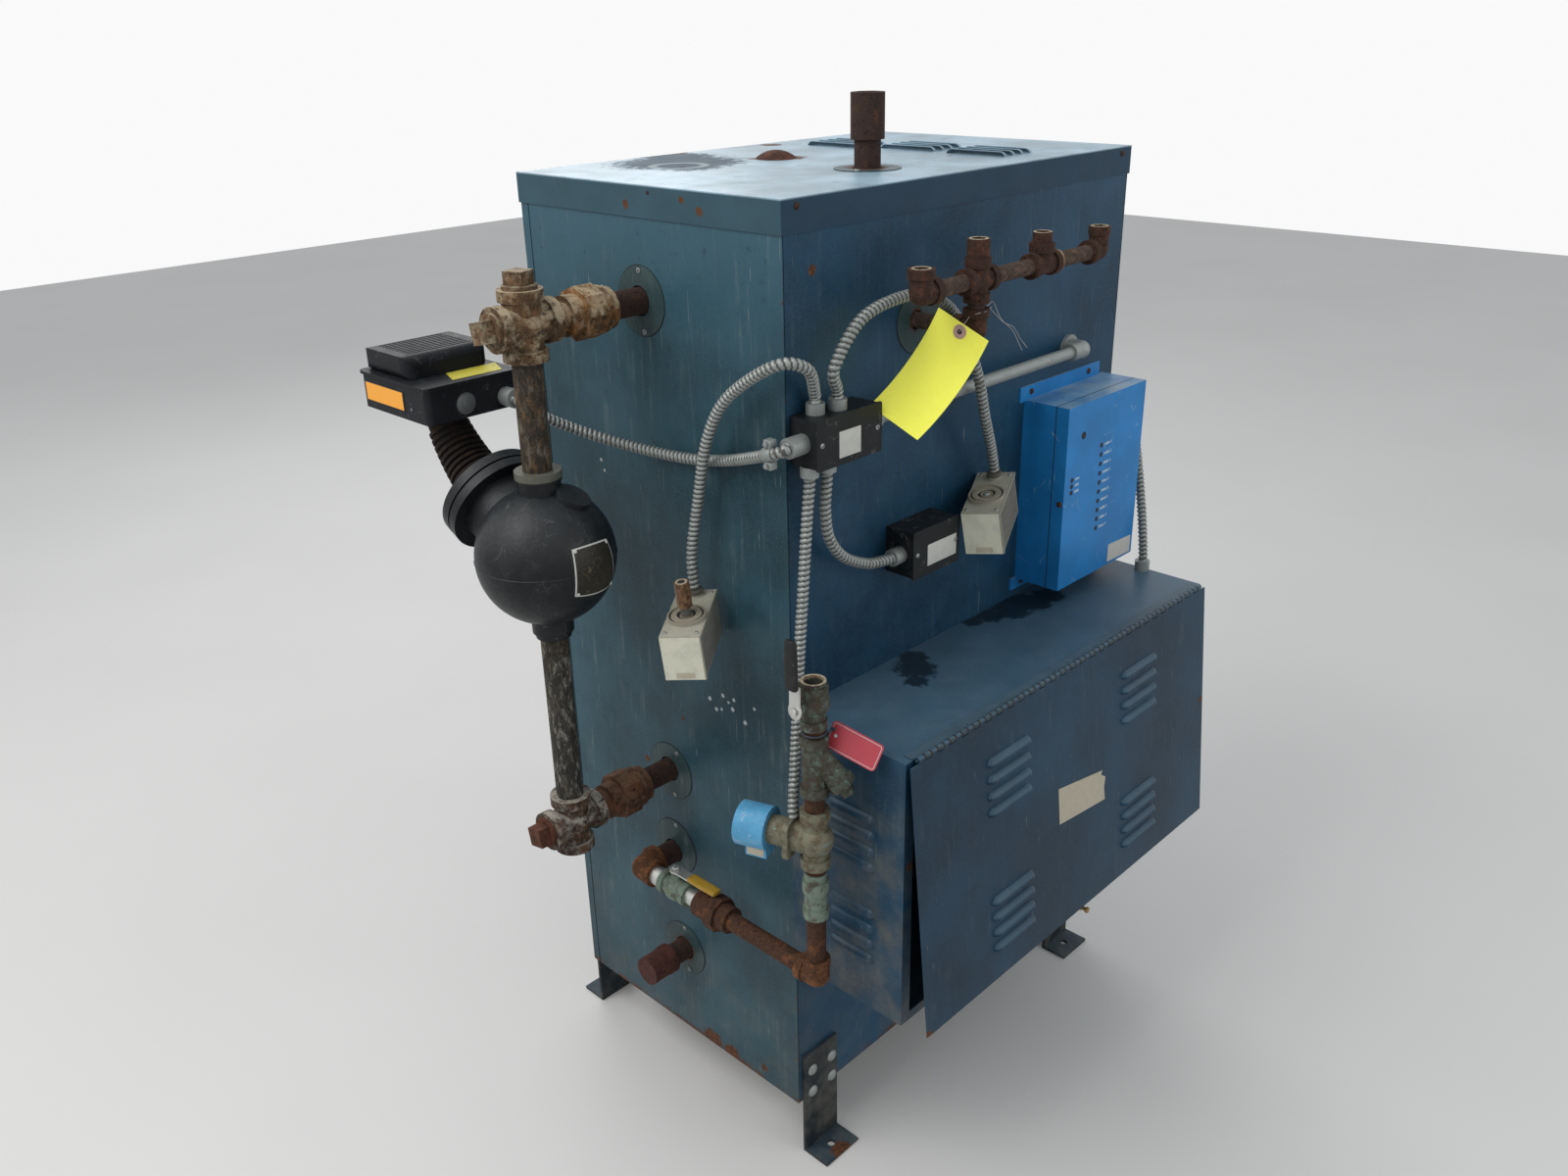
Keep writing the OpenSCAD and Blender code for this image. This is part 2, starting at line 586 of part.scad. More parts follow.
// Gauge header
module header_pipe() color([0.32, 0.22, 0.18]) {
    bar_y(hdr_y + 28, -215, header_cross_x, header_z - header_drop, header_d);
    bar_z(header_z - header_drop + 28, header_z - 28, header_cross_x, hdr_y, header_d);
    bar_x(header_x0 + 28, header_cross_x - 28, hdr_y, header_z, header_d);
    bar_x(header_cross_x + 28, header_tee_x - 28, hdr_y, header_z, header_d);
    bar_x(header_tee_x + 28, header_x1 - 28, hdr_y, header_z, header_d);
}
module header_tee(x, top, collars) {
    bar_x(x - 28, x + 28, hdr_y, header_z, 28);
    bar_z(header_z, header_z + 28, x, hdr_y, 28);
    for (k = [-1, 1]) bar_x(x + k * 23 - 5, x + k * 23 + 5, hdr_y, header_z, 34);
    bar_z(header_z + 16, header_z + 28, x, hdr_y, 34);
    bar_z(header_z + 28, header_z + top, x, hdr_y, collars);
}
module header_fittings() color([0.4, 0.24, 0.18]) difference() {
    union() {
        elbow([header_x0, hdr_y, header_z], [0, 90, 0], [0, 0, 0], 29, 34, 34, 28, 30);
        elbow([header_x1, hdr_y, header_z], [0, -90, 0], [0, 0, 0], 27, 33, 30, 28, 33);
        header_tee(header_tee_x, 42, 26);
        header_tee(header_cross_x, 51, 29);
        bar_z(header_z - 28, header_z, header_cross_x, hdr_y, 28);
        bar_z(header_z - 28, header_z - 16, header_cross_x, hdr_y, 34);
        elbow([header_cross_x, hdr_y, header_z - header_drop], [-90, 0, 0], [0, 0, 0], 29, 34, 34, 28, 28);
    }
    bar_z(header_z + 8, header_z + 31, header_x0, hdr_y, header_bore);
    bar_z(header_z + 31, header_z + 52, header_cross_x, hdr_y, header_bore);
    bar_z(header_z + 22, header_z + 43, header_tee_x, hdr_y, header_bore);
    bar_z(header_z + 12, header_z + 34, header_x1, hdr_y, header_bore);
}

// Electrical boxes and conduits
module junction_box(x, z, w, h, out) {
    block([x + 2, y0 - out + 2.5, z + 2], [x + w - 2, y0, z + h - 2]);
    translate([x, y0 - out + 2.5, z]) rotate([90, 0, 0]) rounded(w, h, 2.5, 3);
}
module junction_box_left() color([0.07, 0.08, 0.09]) junction_box(jb1_x, jb1_z, jb1_w, 65, 47.5);
module junction_box_right() color([0.07, 0.08, 0.09]) junction_box(jb2_x, jb2_z, jb2_w, 70, 50.5);
module rigid_conduit() color([0.62, 0.63, 0.62])
    bar_x(jb1_x + jb1_w + 18, rigid_x1 - 30, conduit_y, rigid_z, rigid_d);
module conduit_fittings() color([0.6, 0.6, 0.58]) {
    // left box: head conduit, two on top, two below, rigid conduit on the right
    bar_x(jb1_x - 26, jb1_x + 2, y0 - 22, jb1_z + 32, 26);
    bar_z(jb1_z + 63, jb1_z + 77, jb1_x + 30, y0 - 17, 24);
    bar_z(jb1_z + 63, jb1_z + 77, jb1_x + 63, conduit_y, 24);
    bar_z(jb1_z - 12, jb1_z + 2, jb1_x + 11, conduit_y, 24);
    bar_z(jb1_z - 12, jb1_z + 2, jb1_x + 41, y0 - 26, 24);
    bar_x(jb1_x + jb1_w - 2, jb1_x + jb1_w + 18, conduit_y, rigid_z, 26);
    // wall elbow of the rigid conduit
    bar_x(rigid_x1 - 30, rigid_x1 - 6, conduit_y, rigid_z, 26);
    sphere_at([rigid_x1, conduit_y, rigid_z], 28);
    bar_y(conduit_y, y0, rigid_x1, rigid_z, 28);
    bar_y(y0 - 6, y0, rigid_x1, rigid_z, 40);
    // right box
    bar_x(jb2_x - 18, jb2_x + 2, y0 - 26, jb2_z + 33, 24);
    // float control head
    bar_y(head_y - 22, head_y, head_x + head_w - 20, head_z + 16, 26);
    // control box side and lower box top
    bar_x(ctl_x0 + ctl_w, ctl_x0 + ctl_w + 16, y0 - 46, 1040, 24);
    bar_z(box_top, box_top + 16, box_x1 - 7, y0 - 98, 24);
}
module flex_head() color([0.5, 0.52, 0.52])
    sweep(smooth(route_head, 1), flex_d, [-1, 0, 0], [0, 1, 0]);
module flex_left_control() color([0.5, 0.52, 0.52])
    sweep(smooth(route_left_control, 2), flex_d, [0, 0, 1], [0.127, 0.004, -0.992]);
module flex_right_control() color([0.5, 0.52, 0.52])
    sweep(smooth(route_right_control, 2), flex_d, [0, 0, 1], [0.198, -0.032, -0.98]);
module flex_solenoid() color([0.5, 0.52, 0.52])
    sweep(smooth(route_solenoid, 1), flex_d, [0, 0, -1], [0, 0, -1]);
module flex_box() color([0.5, 0.52, 0.52])
    sweep(smooth(route_box, 1), flex_d, [0, 0, -1], [1, 0, 0]);
module flex_heater() color([0.5, 0.52, 0.52])
    sweep(smooth(route_heater, 1), flex_d, [1, 0, 0], [0, 0, -1]);

// Pressure control: x across, y along its length, z up from its middle
module control_body() {
    block([-26, -60, -32.8], [26, 61, 30]);
    block([-27.5, -61.4, -32.8], [27.5, -56, 32.8]);
    block([-27.5, -56, 28], [27.5, 61.4, 32.8]);
    translate([0, -12, 32]) cylinder(h = 4, d = 52);
}
module left_control() color([0.75, 0.75, 0.68])
    translate([x0 - 71, y0 + 111.5, 905.3]) rotate([5.8, -4.1, -54.2]) {
        control_body();
        translate([0, -12, 36]) cylinder(h = 14, d = 13);
        translate([0, -12, 50]) cylinder(h = 36, d = 21, $fn = 6);
        translate([0, 48, 32.8]) cylinder(h = 9, d = 22);
    }
module right_control() color([0.75, 0.75, 0.68])
    translate([-16.2, y0 - 54, 995.2]) rotate([9.8, -6.5, -65.7]) {
        control_body();
        translate([0, 46, 32.8]) cylinder(h = 9, d = 22);
    }
module control_box() color([0.13, 0.42, 0.68]) {
    difference() {
        block([ctl_x0, y0 - ctl_d + cover_d, ctl_z0], [ctl_x0 + ctl_w, y0, ctl_z0 + ctl_h]);
        block([ctl_x0 + s, y0 - ctl_d + cover_d - 1, ctl_z0 + s],
            [ctl_x0 + ctl_w - s, y0 - s, ctl_z0 + ctl_h - s]);
    }
    block([ctl_x0 - 14, y0 - 3, ctl_z0 + ctl_h - 2], [ctl_x0 + ctl_w - 14, y0, ctl_z0 + ctl_h + 21]);
    block([ctl_x0 - 14, y0 - 3, ctl_z0 - 17], [ctl_x0 + ctl_w - 14, y0, ctl_z0 + 2]);
}
module control_cover() color([0.16, 0.48, 0.74]) difference() {
    block([ctl_x0, y0 - ctl_d, ctl_z0], [ctl_x0 + ctl_w, y0 - ctl_d + cover_d, ctl_z0 + ctl_h]);
    block([ctl_x0 + s, y0 - ctl_d + s, ctl_z0 + s],
        [ctl_x0 + ctl_w - s, y0 - ctl_d + cover_d + 1, ctl_z0 + ctl_h - s]);
}

// Lower box, hinge and door
module end_louvres() for (z = end_louvre_z, i = [0:3])
    translate([box_x0, y0 - box_out / 2 - 7, box_top - z - i * louvre_pitch]) rotate([0, 0, -90]) children();
module door_louvres() for (x = door_louvre_x, z = door_louvre_z, i = [0:3])
    translate([x, -3, z - i * louvre_pitch]) children();
module lower_box() color([0.14, 0.27, 0.36]) {
    difference() {
        block([box_x0, box_front + 6, box_bottom], [box_x1, y0, box_top]);
        block([box_x0 + s, box_front + 6 + s, box_bottom + s], [box_x1 - s, y0 + 1, box_top - s]);
        block([box_x0 + 18, box_front, box_bottom + 14], [box_x1 - 18, box_front + 20, box_top - 14]);
        end_louvres() louvre_slot(end_louvre);
    }
    end_louvres() louvre(end_louvre, 6);
}
module door_frame() translate([0, hinge_y, hinge_z]) rotate([-door_ajar, 0, 0]) children();
module lower_door() color([0.15, 0.29, 0.38]) {
    door_frame() {
        difference() {
            block([box_x0, -3, -door_h], [box_x1, -1, -4.4]);
            door_louvres() louvre_slot(door_louvre);
        }
        door_louvres() louvre(door_louvre);
        for (i = [0:hinge_pairs]) translate([hinge_x + 2 * i * knuckle, 0, 0]) difference() {
            union() {
                bar_x(0, knuckle - 0.5, 0, 0, 8);
                block([0, -3, -6], [knuckle - 0.5, -1, 0]);
            }
            bar_x(-1, knuckle + 1, 0, 0, 3.4);
        }
    }
}
module door_hinge() color([0.16, 0.3, 0.38]) translate([0, hinge_y, hinge_z]) {
    bar_x(hinge_x - 2, hinge_x1 + 1, 0, 0, 3.2);
    for (i = [1:hinge_pairs]) translate([hinge_x + (2 * i - 1) * knuckle, 0, 0]) {
        bar_x(0, knuckle - 0.5, 0, 0, 8);
        block([0, 0, -1], [knuckle - 0.5, 8, 1]);
    }
    block([hinge_x - 2, 5.2, -1], [hinge_x1 + 1, 20, 0.5]);
}
module drain_cock() color([0.5, 0.42, 0.2]) {
    bar_z(cock_z - 6, box_bottom, cock_x, box_front + 20, 12);
    bar_y(box_front - 38, box_front + 20, cock_x, cock_z, 6);
    bar_y(box_front - 29, box_front - 25.5, cock_x, cock_z, 9.5);
    bar_y(box_front - 40, box_front - 36.5, cock_x, cock_z, 9.5);
}

// Tags
// Card bent along its length, with its middle toward +Y of its own frame
module paper_tag() color([0.95, 0.93, 0.3])
    translate([jb1_x + jb1_w + 61.2, y0 - 79, jb1_z + 89]) rotate([-29, 25.2, -82.4]) rotate([90, 0, 90])
        translate([-tag_bend, 0, -tag_w / 2]) rotate([0, 0, -tag_turn / 2])
            rotate_extrude(angle = tag_turn, $fn = 192) translate([tag_bend - 0.4, 0]) square([0.8, tag_w]);
module valve_tag() color([0.7, 0.2, 0.25])
    translate([feed_x + 33, riser_y - 38, inlet_z - 27]) rotate([-20.4, 15.1, -76.6]) block([-37, -0.8, -18.5], [37, 0.8, 18.5]);

base();
front_panel();
narrow_panels();
back_panel();
lid();
vessel();
feet();
steam_nipple();
steam_coupling();
escutcheons();
lid_plug();
wall_nipples();
column_pipes();
column_crosses();
column_plugs();
column_unions();
float_chamber();
float_flange();
float_neck();
head_base();
head_cover();
feed_pipe();
feed_elbows();
feed_valve();
feed_lever();
bright_nipples();
feed_union();
check_fitting();
solenoid_valve();
solenoid_coil();
strainer();
inlet_valve();
inlet_lever();
drain_cap();
header_pipe();
header_fittings();
junction_box_left();
junction_box_right();
rigid_conduit();
conduit_fittings();
control_box();
control_cover();
lower_box();
lower_door();
door_hinge();
flex_head();
flex_left_control();
flex_right_control();
flex_solenoid();
flex_box();
flex_heater();
left_control();
right_control();
paper_tag();
valve_tag();
drain_cock();
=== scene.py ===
"""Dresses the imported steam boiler: worn paint, rusty pipework, spiral conduits, labels, tags and screws."""

import math
import random

import bmesh
import bpy
from mathutils import Matrix, Vector


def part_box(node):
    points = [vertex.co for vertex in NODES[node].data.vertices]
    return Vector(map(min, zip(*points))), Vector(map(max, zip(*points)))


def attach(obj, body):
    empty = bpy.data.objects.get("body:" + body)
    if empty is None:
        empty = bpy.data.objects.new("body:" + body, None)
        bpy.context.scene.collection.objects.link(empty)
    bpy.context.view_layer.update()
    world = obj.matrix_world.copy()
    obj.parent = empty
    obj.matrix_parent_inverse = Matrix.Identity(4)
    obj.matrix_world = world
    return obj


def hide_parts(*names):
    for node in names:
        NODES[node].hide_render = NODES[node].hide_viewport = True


bl_info = {
    "name": "Steam Boiler",
    "version": (1, 0, 0),
    "blender": (4, 5, 0),
    "location": "View3D > Sidebar > Boiler",
    "description": "Dresses the boiler's solids with worn paint, rust, conduits and small parts",
    "category": "Object",
}

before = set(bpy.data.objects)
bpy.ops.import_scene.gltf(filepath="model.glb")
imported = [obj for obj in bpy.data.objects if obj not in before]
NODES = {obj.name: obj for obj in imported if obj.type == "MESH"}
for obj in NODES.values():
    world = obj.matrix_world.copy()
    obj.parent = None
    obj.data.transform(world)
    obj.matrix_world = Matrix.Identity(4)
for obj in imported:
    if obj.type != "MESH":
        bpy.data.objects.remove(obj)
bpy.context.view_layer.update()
MM = 0.001
BODY = "boiler"
DOOR = "door"
LEFT, RIGHT, FRONT, BACK = (-1, 0, 0), (1, 0, 0), (0, -1, 0), (0, 1, 0)


def span(node):
    """Lowest and highest corner of a CAD node, in millimetres."""
    low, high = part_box(node)
    return low / MM, high / MM


# Where the camera stood: place in metres, angles in degrees, lens in millimetres on a 36 mm sensor
CAMERA_PLACE = (-1.485, -1.3316, 1.658)
CAMERA_TURN = 45.48
CAMERA_DIP = 23.69
CAMERA_ROLL = 1.253
CAMERA_LENS = 30.03

# Places on the boiler that small parts sit on, in millimetres
HALF_WIDTH, HALF_DEPTH = 381.0, 254.0
CHAMBER = Vector((-567, 8, 1014))
CHAMBER_RADIUS = 92.5
RISER_X, RISER_Y = -442, -353
HEADER_Y = -350
HINGE_Y, HINGE_Z = -459, 800
# Length of a hinge knuckle with its gap
KNUCKLE = 12.7
# The plates round the pipes of the narrow side: y, z and the turns of their two rivets in degrees
WALL_PLATES = ((5, 1317, 90, 263), (4, 601, 114, 260), (4, 464, 96, 276), (-3, 269, 94, 258))

# Routes of the spiral conduits in millimetres, with the ways they leave the first and enter the last fitting
ROUTES = {
    "flex_head": (
        [(-401.3, -276, 1177), (-410, -275, 1175), (-412, -250, 1166), (-393, -160, 1136), (-392, -80, 1122),
         (-410, 14, 1124), (-446, 70, 1142), (-490, 94, 1168), (-516, 100, 1190), (-520, 110.8, 1196)],
        (-1, 0, 0), (0, 1, 0)),
    "flex_left_control": (
        [(-345, -271, 1222.3), (-347, -272, 1234), (-376, -287, 1272), (-410, -267, 1279), (-416, -190, 1228),
         (-416, -149, 1165), (-414, -125, 1080), (-418, -112, 1004), (-418.6, -114.3, 952)],
        (0, 0, 1), (0.127, 0.004, -0.992)),
    "flex_right_control": (
        [(-312, -278, 1222.3), (-314, -279, 1234), (-328, -288, 1266), (-286, -296, 1319), (-207, -300, 1334),
         (-148, -300, 1321), (-100, -300, 1287), (-58, -304, 1209), (-30, -300, 1140), (6, -289, 1078),
         (18, -286.4, 1044.7)],
        (0, 0, 1), (0.198, -0.032, -0.98)),
    "flex_solenoid": (
        [(-364, -278, 1132.7), (-365, -278, 1120), (-372, -280, 1080), (-387, -286, 992), (-405, -294, 900),
         (-427, -307, 795), (-448, -320, 712), (-450, -322, 699.5)],
        (0, 0, -1), (0, 0, -1)),
    "flex_box": (
        [(-334, -280, 1132.7), (-335, -280, 1120), (-338, -280, 1083), (-331, -280, 1042), (-303, -280, 1007),
         (-256, -280, 983), (-218, -280, 976), (-206.3, -280, 975)],
        (0, 0, -1), (1, 0, 0)),
    "flex_heater": (
        [(368.3, -300, 1040), (375, -300, 1037), (381, -310, 1005), (372, -336, 900), (363, -351, 830),
         (362, -352, 815.3)],
        (1, 0, 0), (0, 0, -1)),
}

# Place in millimetres and turns about X, Y and Z in degrees of the two pressure controls
CONTROLS = {
    "left_control": ((-452, -142.5, 905.3), (5.8, -4.1, -54.2)),
    "right_control": ((-16.2, -308, 995.2), (9.8, -6.5, -65.7)),
}


def colour_setting(name, text, value):
    """A colour in linear light."""
    return bpy.props.FloatVectorProperty(
        name=name, description=text, subtype="COLOR", size=3, min=0, max=1, default=value)


def length_setting(name, text, low, value, high):
    """A length in metres, with its range."""
    return bpy.props.FloatProperty(
        name=name, description=text, unit="LENGTH", min=low, default=value, max=high)


class BoilerFinish(bpy.types.PropertyGroup):
    """Colours of the finishes, in linear light."""

    # The wide and narrow sides wear one paint; the wide side's copy is darker by painted shade.
    shaded_wide_paint: colour_setting(
        "Wide side paint", "Paint of the wide side, the lower box and its door", (0.0095, 0.042, 0.079))
    narrow_paint: colour_setting(
        "Narrow side paint", "Paint of the narrow sides and the back", (0.021, 0.055, 0.074))
    lid_paint: colour_setting("Lid paint", "Bleached paint on top of the lid", (0.245, 0.355, 0.430))
    control_paint: colour_setting(
        "Control box paint", "Bright paint of the control box", (0.014, 0.185, 0.47))
    rust: colour_setting("Rust", "Dark rust on the pipework", (0.042, 0.022, 0.014))
    fresh_rust: colour_setting("Fresh rust", "Orange rust in patches", (0.135, 0.052, 0.022))
    patina: colour_setting("Patina", "Green patina on the bronze valves", (0.080, 0.098, 0.078))
    zinc: colour_setting("Zinc", "Dull zinc of the conduits", (0.30, 0.325, 0.315))


class BoilerSizes(bpy.types.PropertyGroup):
    """Sizes of what only the scene adds."""

    flex_d: length_setting(
        "Conduit diameter", "Outside diameter of the spiral conduits", 0.01, 0.0159, 0.02)
    flex_pitch: length_setting(
        "Conduit pitch", "Distance between two turns of the spiral", 0.004, 0.0070, 0.012)
    screw_d: length_setting("Screw head", "Diameter of a sheet-metal screw's head", 0.004, 0.0085, 0.012)
    bolt_d: length_setting("Foot bolt head", "Diameter of a foot bolt's round head", 0.01, 0.019, 0.024)
    edge_round: length_setting("Edge rounding", "Rounding of the sheet-metal edges", 0, 0.0006, 0.003)


# Meshes


def about(axis, degrees):
    """A turn about an axis."""
    return Matrix.Rotation(math.radians(degrees), 4, axis)


def place(x, y, z, toward=(0, 0, 1), turn=0.0):
    """A frame at a point in millimetres, with its Z axis pointing toward."""
    tilt = Vector(toward).normalized().to_track_quat("Z", "Y").to_matrix().to_4x4()
    return Matrix.Translation((x, y, z)) @ tilt @ about("Z", turn)


def turned(spot, turns):
    """A frame at a point in millimetres, turned about X, then Y, then Z by degrees."""
    x, y, z = turns
    return Matrix.Translation(spot) @ about("Z", z) @ about("Y", y) @ about("X", x)


def polar(radius, degrees):
    """A point on a circle round the origin."""
    a = math.radians(degrees)
    return radius * math.cos(a), radius * math.sin(a)


def directions(points):
    """The way along a line at each of its points."""
    last = len(points) - 1
    return [(points[min(i + 1, last)] - points[max(i - 1, 0)]).normalized() for i in range(last + 1)]


class Form:
    """A mesh in millimetres that grows by revolved, extruded and swept shapes."""

    def __init__(self):
        self.bm = bmesh.new()

    def _slot(self, faces, slot):
        """Gives faces one of the materials."""
        for face in faces:
            face.material_index = slot

    def _round(self, faces, offset, slot):
        """Rounds the edges of some faces."""
        edges = {edge for face in faces for edge in face.edges}
        new = bmesh.ops.bevel(self.bm, geom=list(edges), offset=offset, segments=2, affect="EDGES",
                              profile=0.5, clamp_overlap=True)
        self._slot(new["faces"], slot)

    def skin(self, rings, slot):
        """Faces between rings of points; a ring of one point is a tip."""
        rings = [[self.bm.verts.new(point) for point in ring] for ring in rings]
        for low, high in zip(rings, rings[1:]):
            for k in range(max(len(low), len(high))):
                m = k + 1
                corners = (low[k % len(low)], low[m % len(low)], high[m % len(high)], high[k % len(high)])
                self.bm.faces.new(list(dict.fromkeys(corners))).material_index = slot
        return rings

    def loft(self, rings, slot=0):
        """A skin over rings, closed by a face at each end; returns these two faces."""
        rings = self.skin(rings, slot)
        ends = [self.bm.faces.new(reversed(rings[0])), self.bm.faces.new(rings[-1])]
        self._slot(ends, slot)
        return ends

    def revolve(self, profile, where, sides=24, slot=0):
        """A body of revolution: profile lists (radius, height) pairs, and a radius of 0 closes an end."""
        rings = []
        for radius, height in profile:
            turns = [360 * k / sides for k in range(sides if radius else 1)]
            rings.append([where @ Vector((*polar(radius, turn), height)) for turn in turns])
        self.skin(rings, slot)

    def prism(self, outline, low, high, where=Matrix(), slot=0, bevel=0.0):
        """An outline in the frame's X-Y plane, drawn out from low to high along its Z axis."""
        rings = [[where @ Vector((x, y, height)) for x, y in outline] for height in (low, high)]
        ends = self.loft(rings, slot)
        if bevel:
            self._round(ends, bevel, slot)

    def block(self, low, high, where=Matrix(), bevel=0.0, slot=0):
        """A box between two corners, with its edges rounded."""
        low, high = Vector(low), Vector(high)
        size, middle = high - low, (high + low) / 2
        made = bmesh.ops.create_cube(self.bm, size=1)["verts"]
        for v in made:
            v.co = where @ (middle + size * v.co)
        faces = {f for v in made for f in v.link_faces}
        self._slot(faces, slot)
        if bevel:
            self._round(faces, bevel, slot)

    def tube(self, points, radius, sides):
        """A round tube along a line."""
        self.swept(points, directions(points), lambda i, angle: radius, sides)

    def swept(self, points, ways, radius, sides):
        """A tube whose radius is a function of the step and the angle; ways are its directions."""
        up = ways[0].orthogonal().normalized()
        rings = []
        for i, (point, way) in enumerate(zip(points, ways)):
            up = (up - up.dot(way) * way).normalized()
            side = way.cross(up)
            ring = []
            for k in range(sides):
                a = 2 * math.pi * k / sides
                ring.append(point + radius(i, a) * (math.cos(a) * up + math.sin(a) * side))
            rings.append(ring)
        self.loft(rings)

    def finish(self, name, *looks, body=BODY, slot=None, smooth=35.0):
        """Makes the object, gives it the named materials and lets it ride on a body."""
        mesh = bpy.data.meshes.new(name)
        for v in self.bm.verts:
            v.co *= MM
        bmesh.ops.recalc_face_normals(self.bm, faces=self.bm.faces)
        self.bm.to_mesh(mesh)
        self.bm.free()
        for look in looks:
            mesh.materials.append(look_named(look))
        mesh.polygons.foreach_set("use_smooth", [True] * len(mesh.polygons))
        mesh.set_sharp_from_angle(angle=math.radians(smooth))
        piece = bpy.data.objects.new(name, mesh)
        bpy.context.scene.collection.objects.link(piece)
        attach(piece, body)
        return piece


def smooth_line(points, step):
    """A smooth line through the points, with a point about every step, and its length."""
    points = [Vector(p) for p in points]
    fine = []
    for i in range(len(points) - 1):
        a, b, c, d = points[max(i - 1, 0)], points[i], points[i + 1], points[min(i + 2, len(points) - 1)]
        for k in range(24):
            t = k / 24
            fine.append(0.5 * (2 * b + (c - a) * t + (2 * a - 5 * b + 4 * c - d) * t ** 2
                               + (3 * b - a - 3 * c + d) * t ** 3))
    fine.append(points[-1])
    lengths = [0.0]
    for p, q in zip(fine, fine[1:]):
        lengths.append(lengths[-1] + (q - p).length)
    count = max(2, round(lengths[-1] / step))
    line, k = [], 0
    for i in range(count + 1):
        goal = lengths[-1] * i / count
        while k < len(fine) - 2 and lengths[k + 1] < goal:
            k += 1
        part = (goal - lengths[k]) / max(lengths[k + 1] - lengths[k], 1e-9)
        line.append(fine[k].lerp(fine[k + 1], part))
    return line, lengths[-1]


def slotted_screw(form, where, d, slot=0):
    """A pan head with a slot, standing on the frame's X-Y plane."""
    r = d / 2
    head = [(0, -0.4), (r * 1.05, -0.4), (r * 1.05, 0.2), (r, 0.9), (r * 0.8, 1.7), (r * 0.45, 2.1), (0, 2.2)]
    form.revolve(head, where, 16, slot)
    form.block((-r * 0.75, -0.5, 2.0), (r * 0.75, 0.5, 2.35), where, 0, slot + 1)


def round_spot(form, radius, where):
    """A flat dark spot with a low rim, such as a lamp's hole."""
    form.revolve([(radius, -0.2), (radius, 0.25), (radius * 0.8, 0.25), (0, 0.1)], where, 16)


def hex_head(form, where, d, height):
    """The hexagon head of a screw."""
    form.prism([polar(d / 2, 60 * k) for k in range(6)], 1.0, 1.0 + height, where, bevel=0.5)


def squared(value):
    """Pushes a point of a round section towards a square one."""
    return math.copysign(abs(value) ** 0.6, value)


def valve_lever(valve, grip_slot, where, boss, reach, grip, width, lift):
    """A lever along the frame's X axis: a plate, bent up to a rounded grip, on a round boss with a nut."""
    half = width / 2
    start = reach - grip
    neck = [(half * 0.9, -half * 0.8), (start, -half * 0.85)]
    hub = [polar(half * 1.08, turn) for turn in range(60, 301, 20)]
    form = Form()
    form.prism(hub + neck + [(x, -y) for x, y in neck[::-1]], 1.7, 4.5, where, bevel=0.4)
    # Places along the grip as shares of its length, with how full it is there
    tip = [(0, 0.72), (0.012, 0.94), (0.05, 1)]
    middle = [(0.05 + 0.9 * i / 7, 1) for i in range(1, 7)]
    places = tip + middle + [(1 - share, full) for share, full in tip[::-1]]
    rings = []
    for i, (share, full) in enumerate(places):
        x = start - 4 + (grip + 4) * share
        swell = full * (0.88 + 0.12 * math.sin(math.pi * min(1, i / 11 * 1.15)))
        ring = []
        for k in range(16):
            across, up = polar(1, 22.5 * k)
            y, z = squared(across) * half * swell, squared(up) * 3.9 * swell + lift + 4
            ring.append(where @ Vector((x, y, z)))
        rings.append(ring)
    form.loft(rings, 1)
    hex_head(form, where @ Matrix.Translation((0, 0, 4.2)), 12, 3.6)
    form.revolve([(0, -0.1), (boss, -0.1), (boss, 2.2), (0, 2.2)], where, 16)
    piece = form.finish(
        valve + "_lever_dressed", "bright_zinc", grip_slot, body=valve + "_handle", slot=grip_slot)
    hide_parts(valve + "_lever")


# Shader maths

# Every material by its name
LOOKS = {}


class Flow:
    """One socket of a material, used in Python expressions: sums of flows add Math nodes."""

    def __init__(self, look, socket):
        self.look = look
        self.socket = socket

    def __add__(self, other):
        return self.look.math("ADD", self, other)

    __radd__ = __add__

    def __sub__(self, other):
        return self.look.math("SUBTRACT", self, other)

    def __rsub__(self, other):
        return self.look.math("SUBTRACT", other, self)

    def __mul__(self, other):
        return self.look.math("MULTIPLY", self, other)

    __rmul__ = __mul__

    def __truediv__(self, other):
        return self.look.math("DIVIDE", self, other)

    def __abs__(self):
        return self.look.math("ABSOLUTE", self)

    def above(self, low, high):
        """0 below low, 1 above high, smooth between."""
        return self.look.node("ShaderNodeMapRange", {"interpolation_type": "SMOOTHSTEP"},
                              {"Value": self, "From Min": low, "From Max": high})

    def most(self, other):
        """The larger of two flows."""
        return self.look.math("MAXIMUM", self, other)


def add_node(tree, kind, settings=None, sockets=None):
    """Adds a node with its settings and the values of its sockets, or the sockets they are linked from."""
    made = tree.nodes.new(kind)
    for key, value in (settings or {}).items():
        setattr(made, key, value)
    for key, value in (sockets or {}).items():
        if isinstance(value, Flow):
            value = value.socket
        if isinstance(value, bpy.types.NodeSocket):
            tree.links.new(value, made.inputs[key])
        else:
            made.inputs[key].default_value = value
    return made.outputs


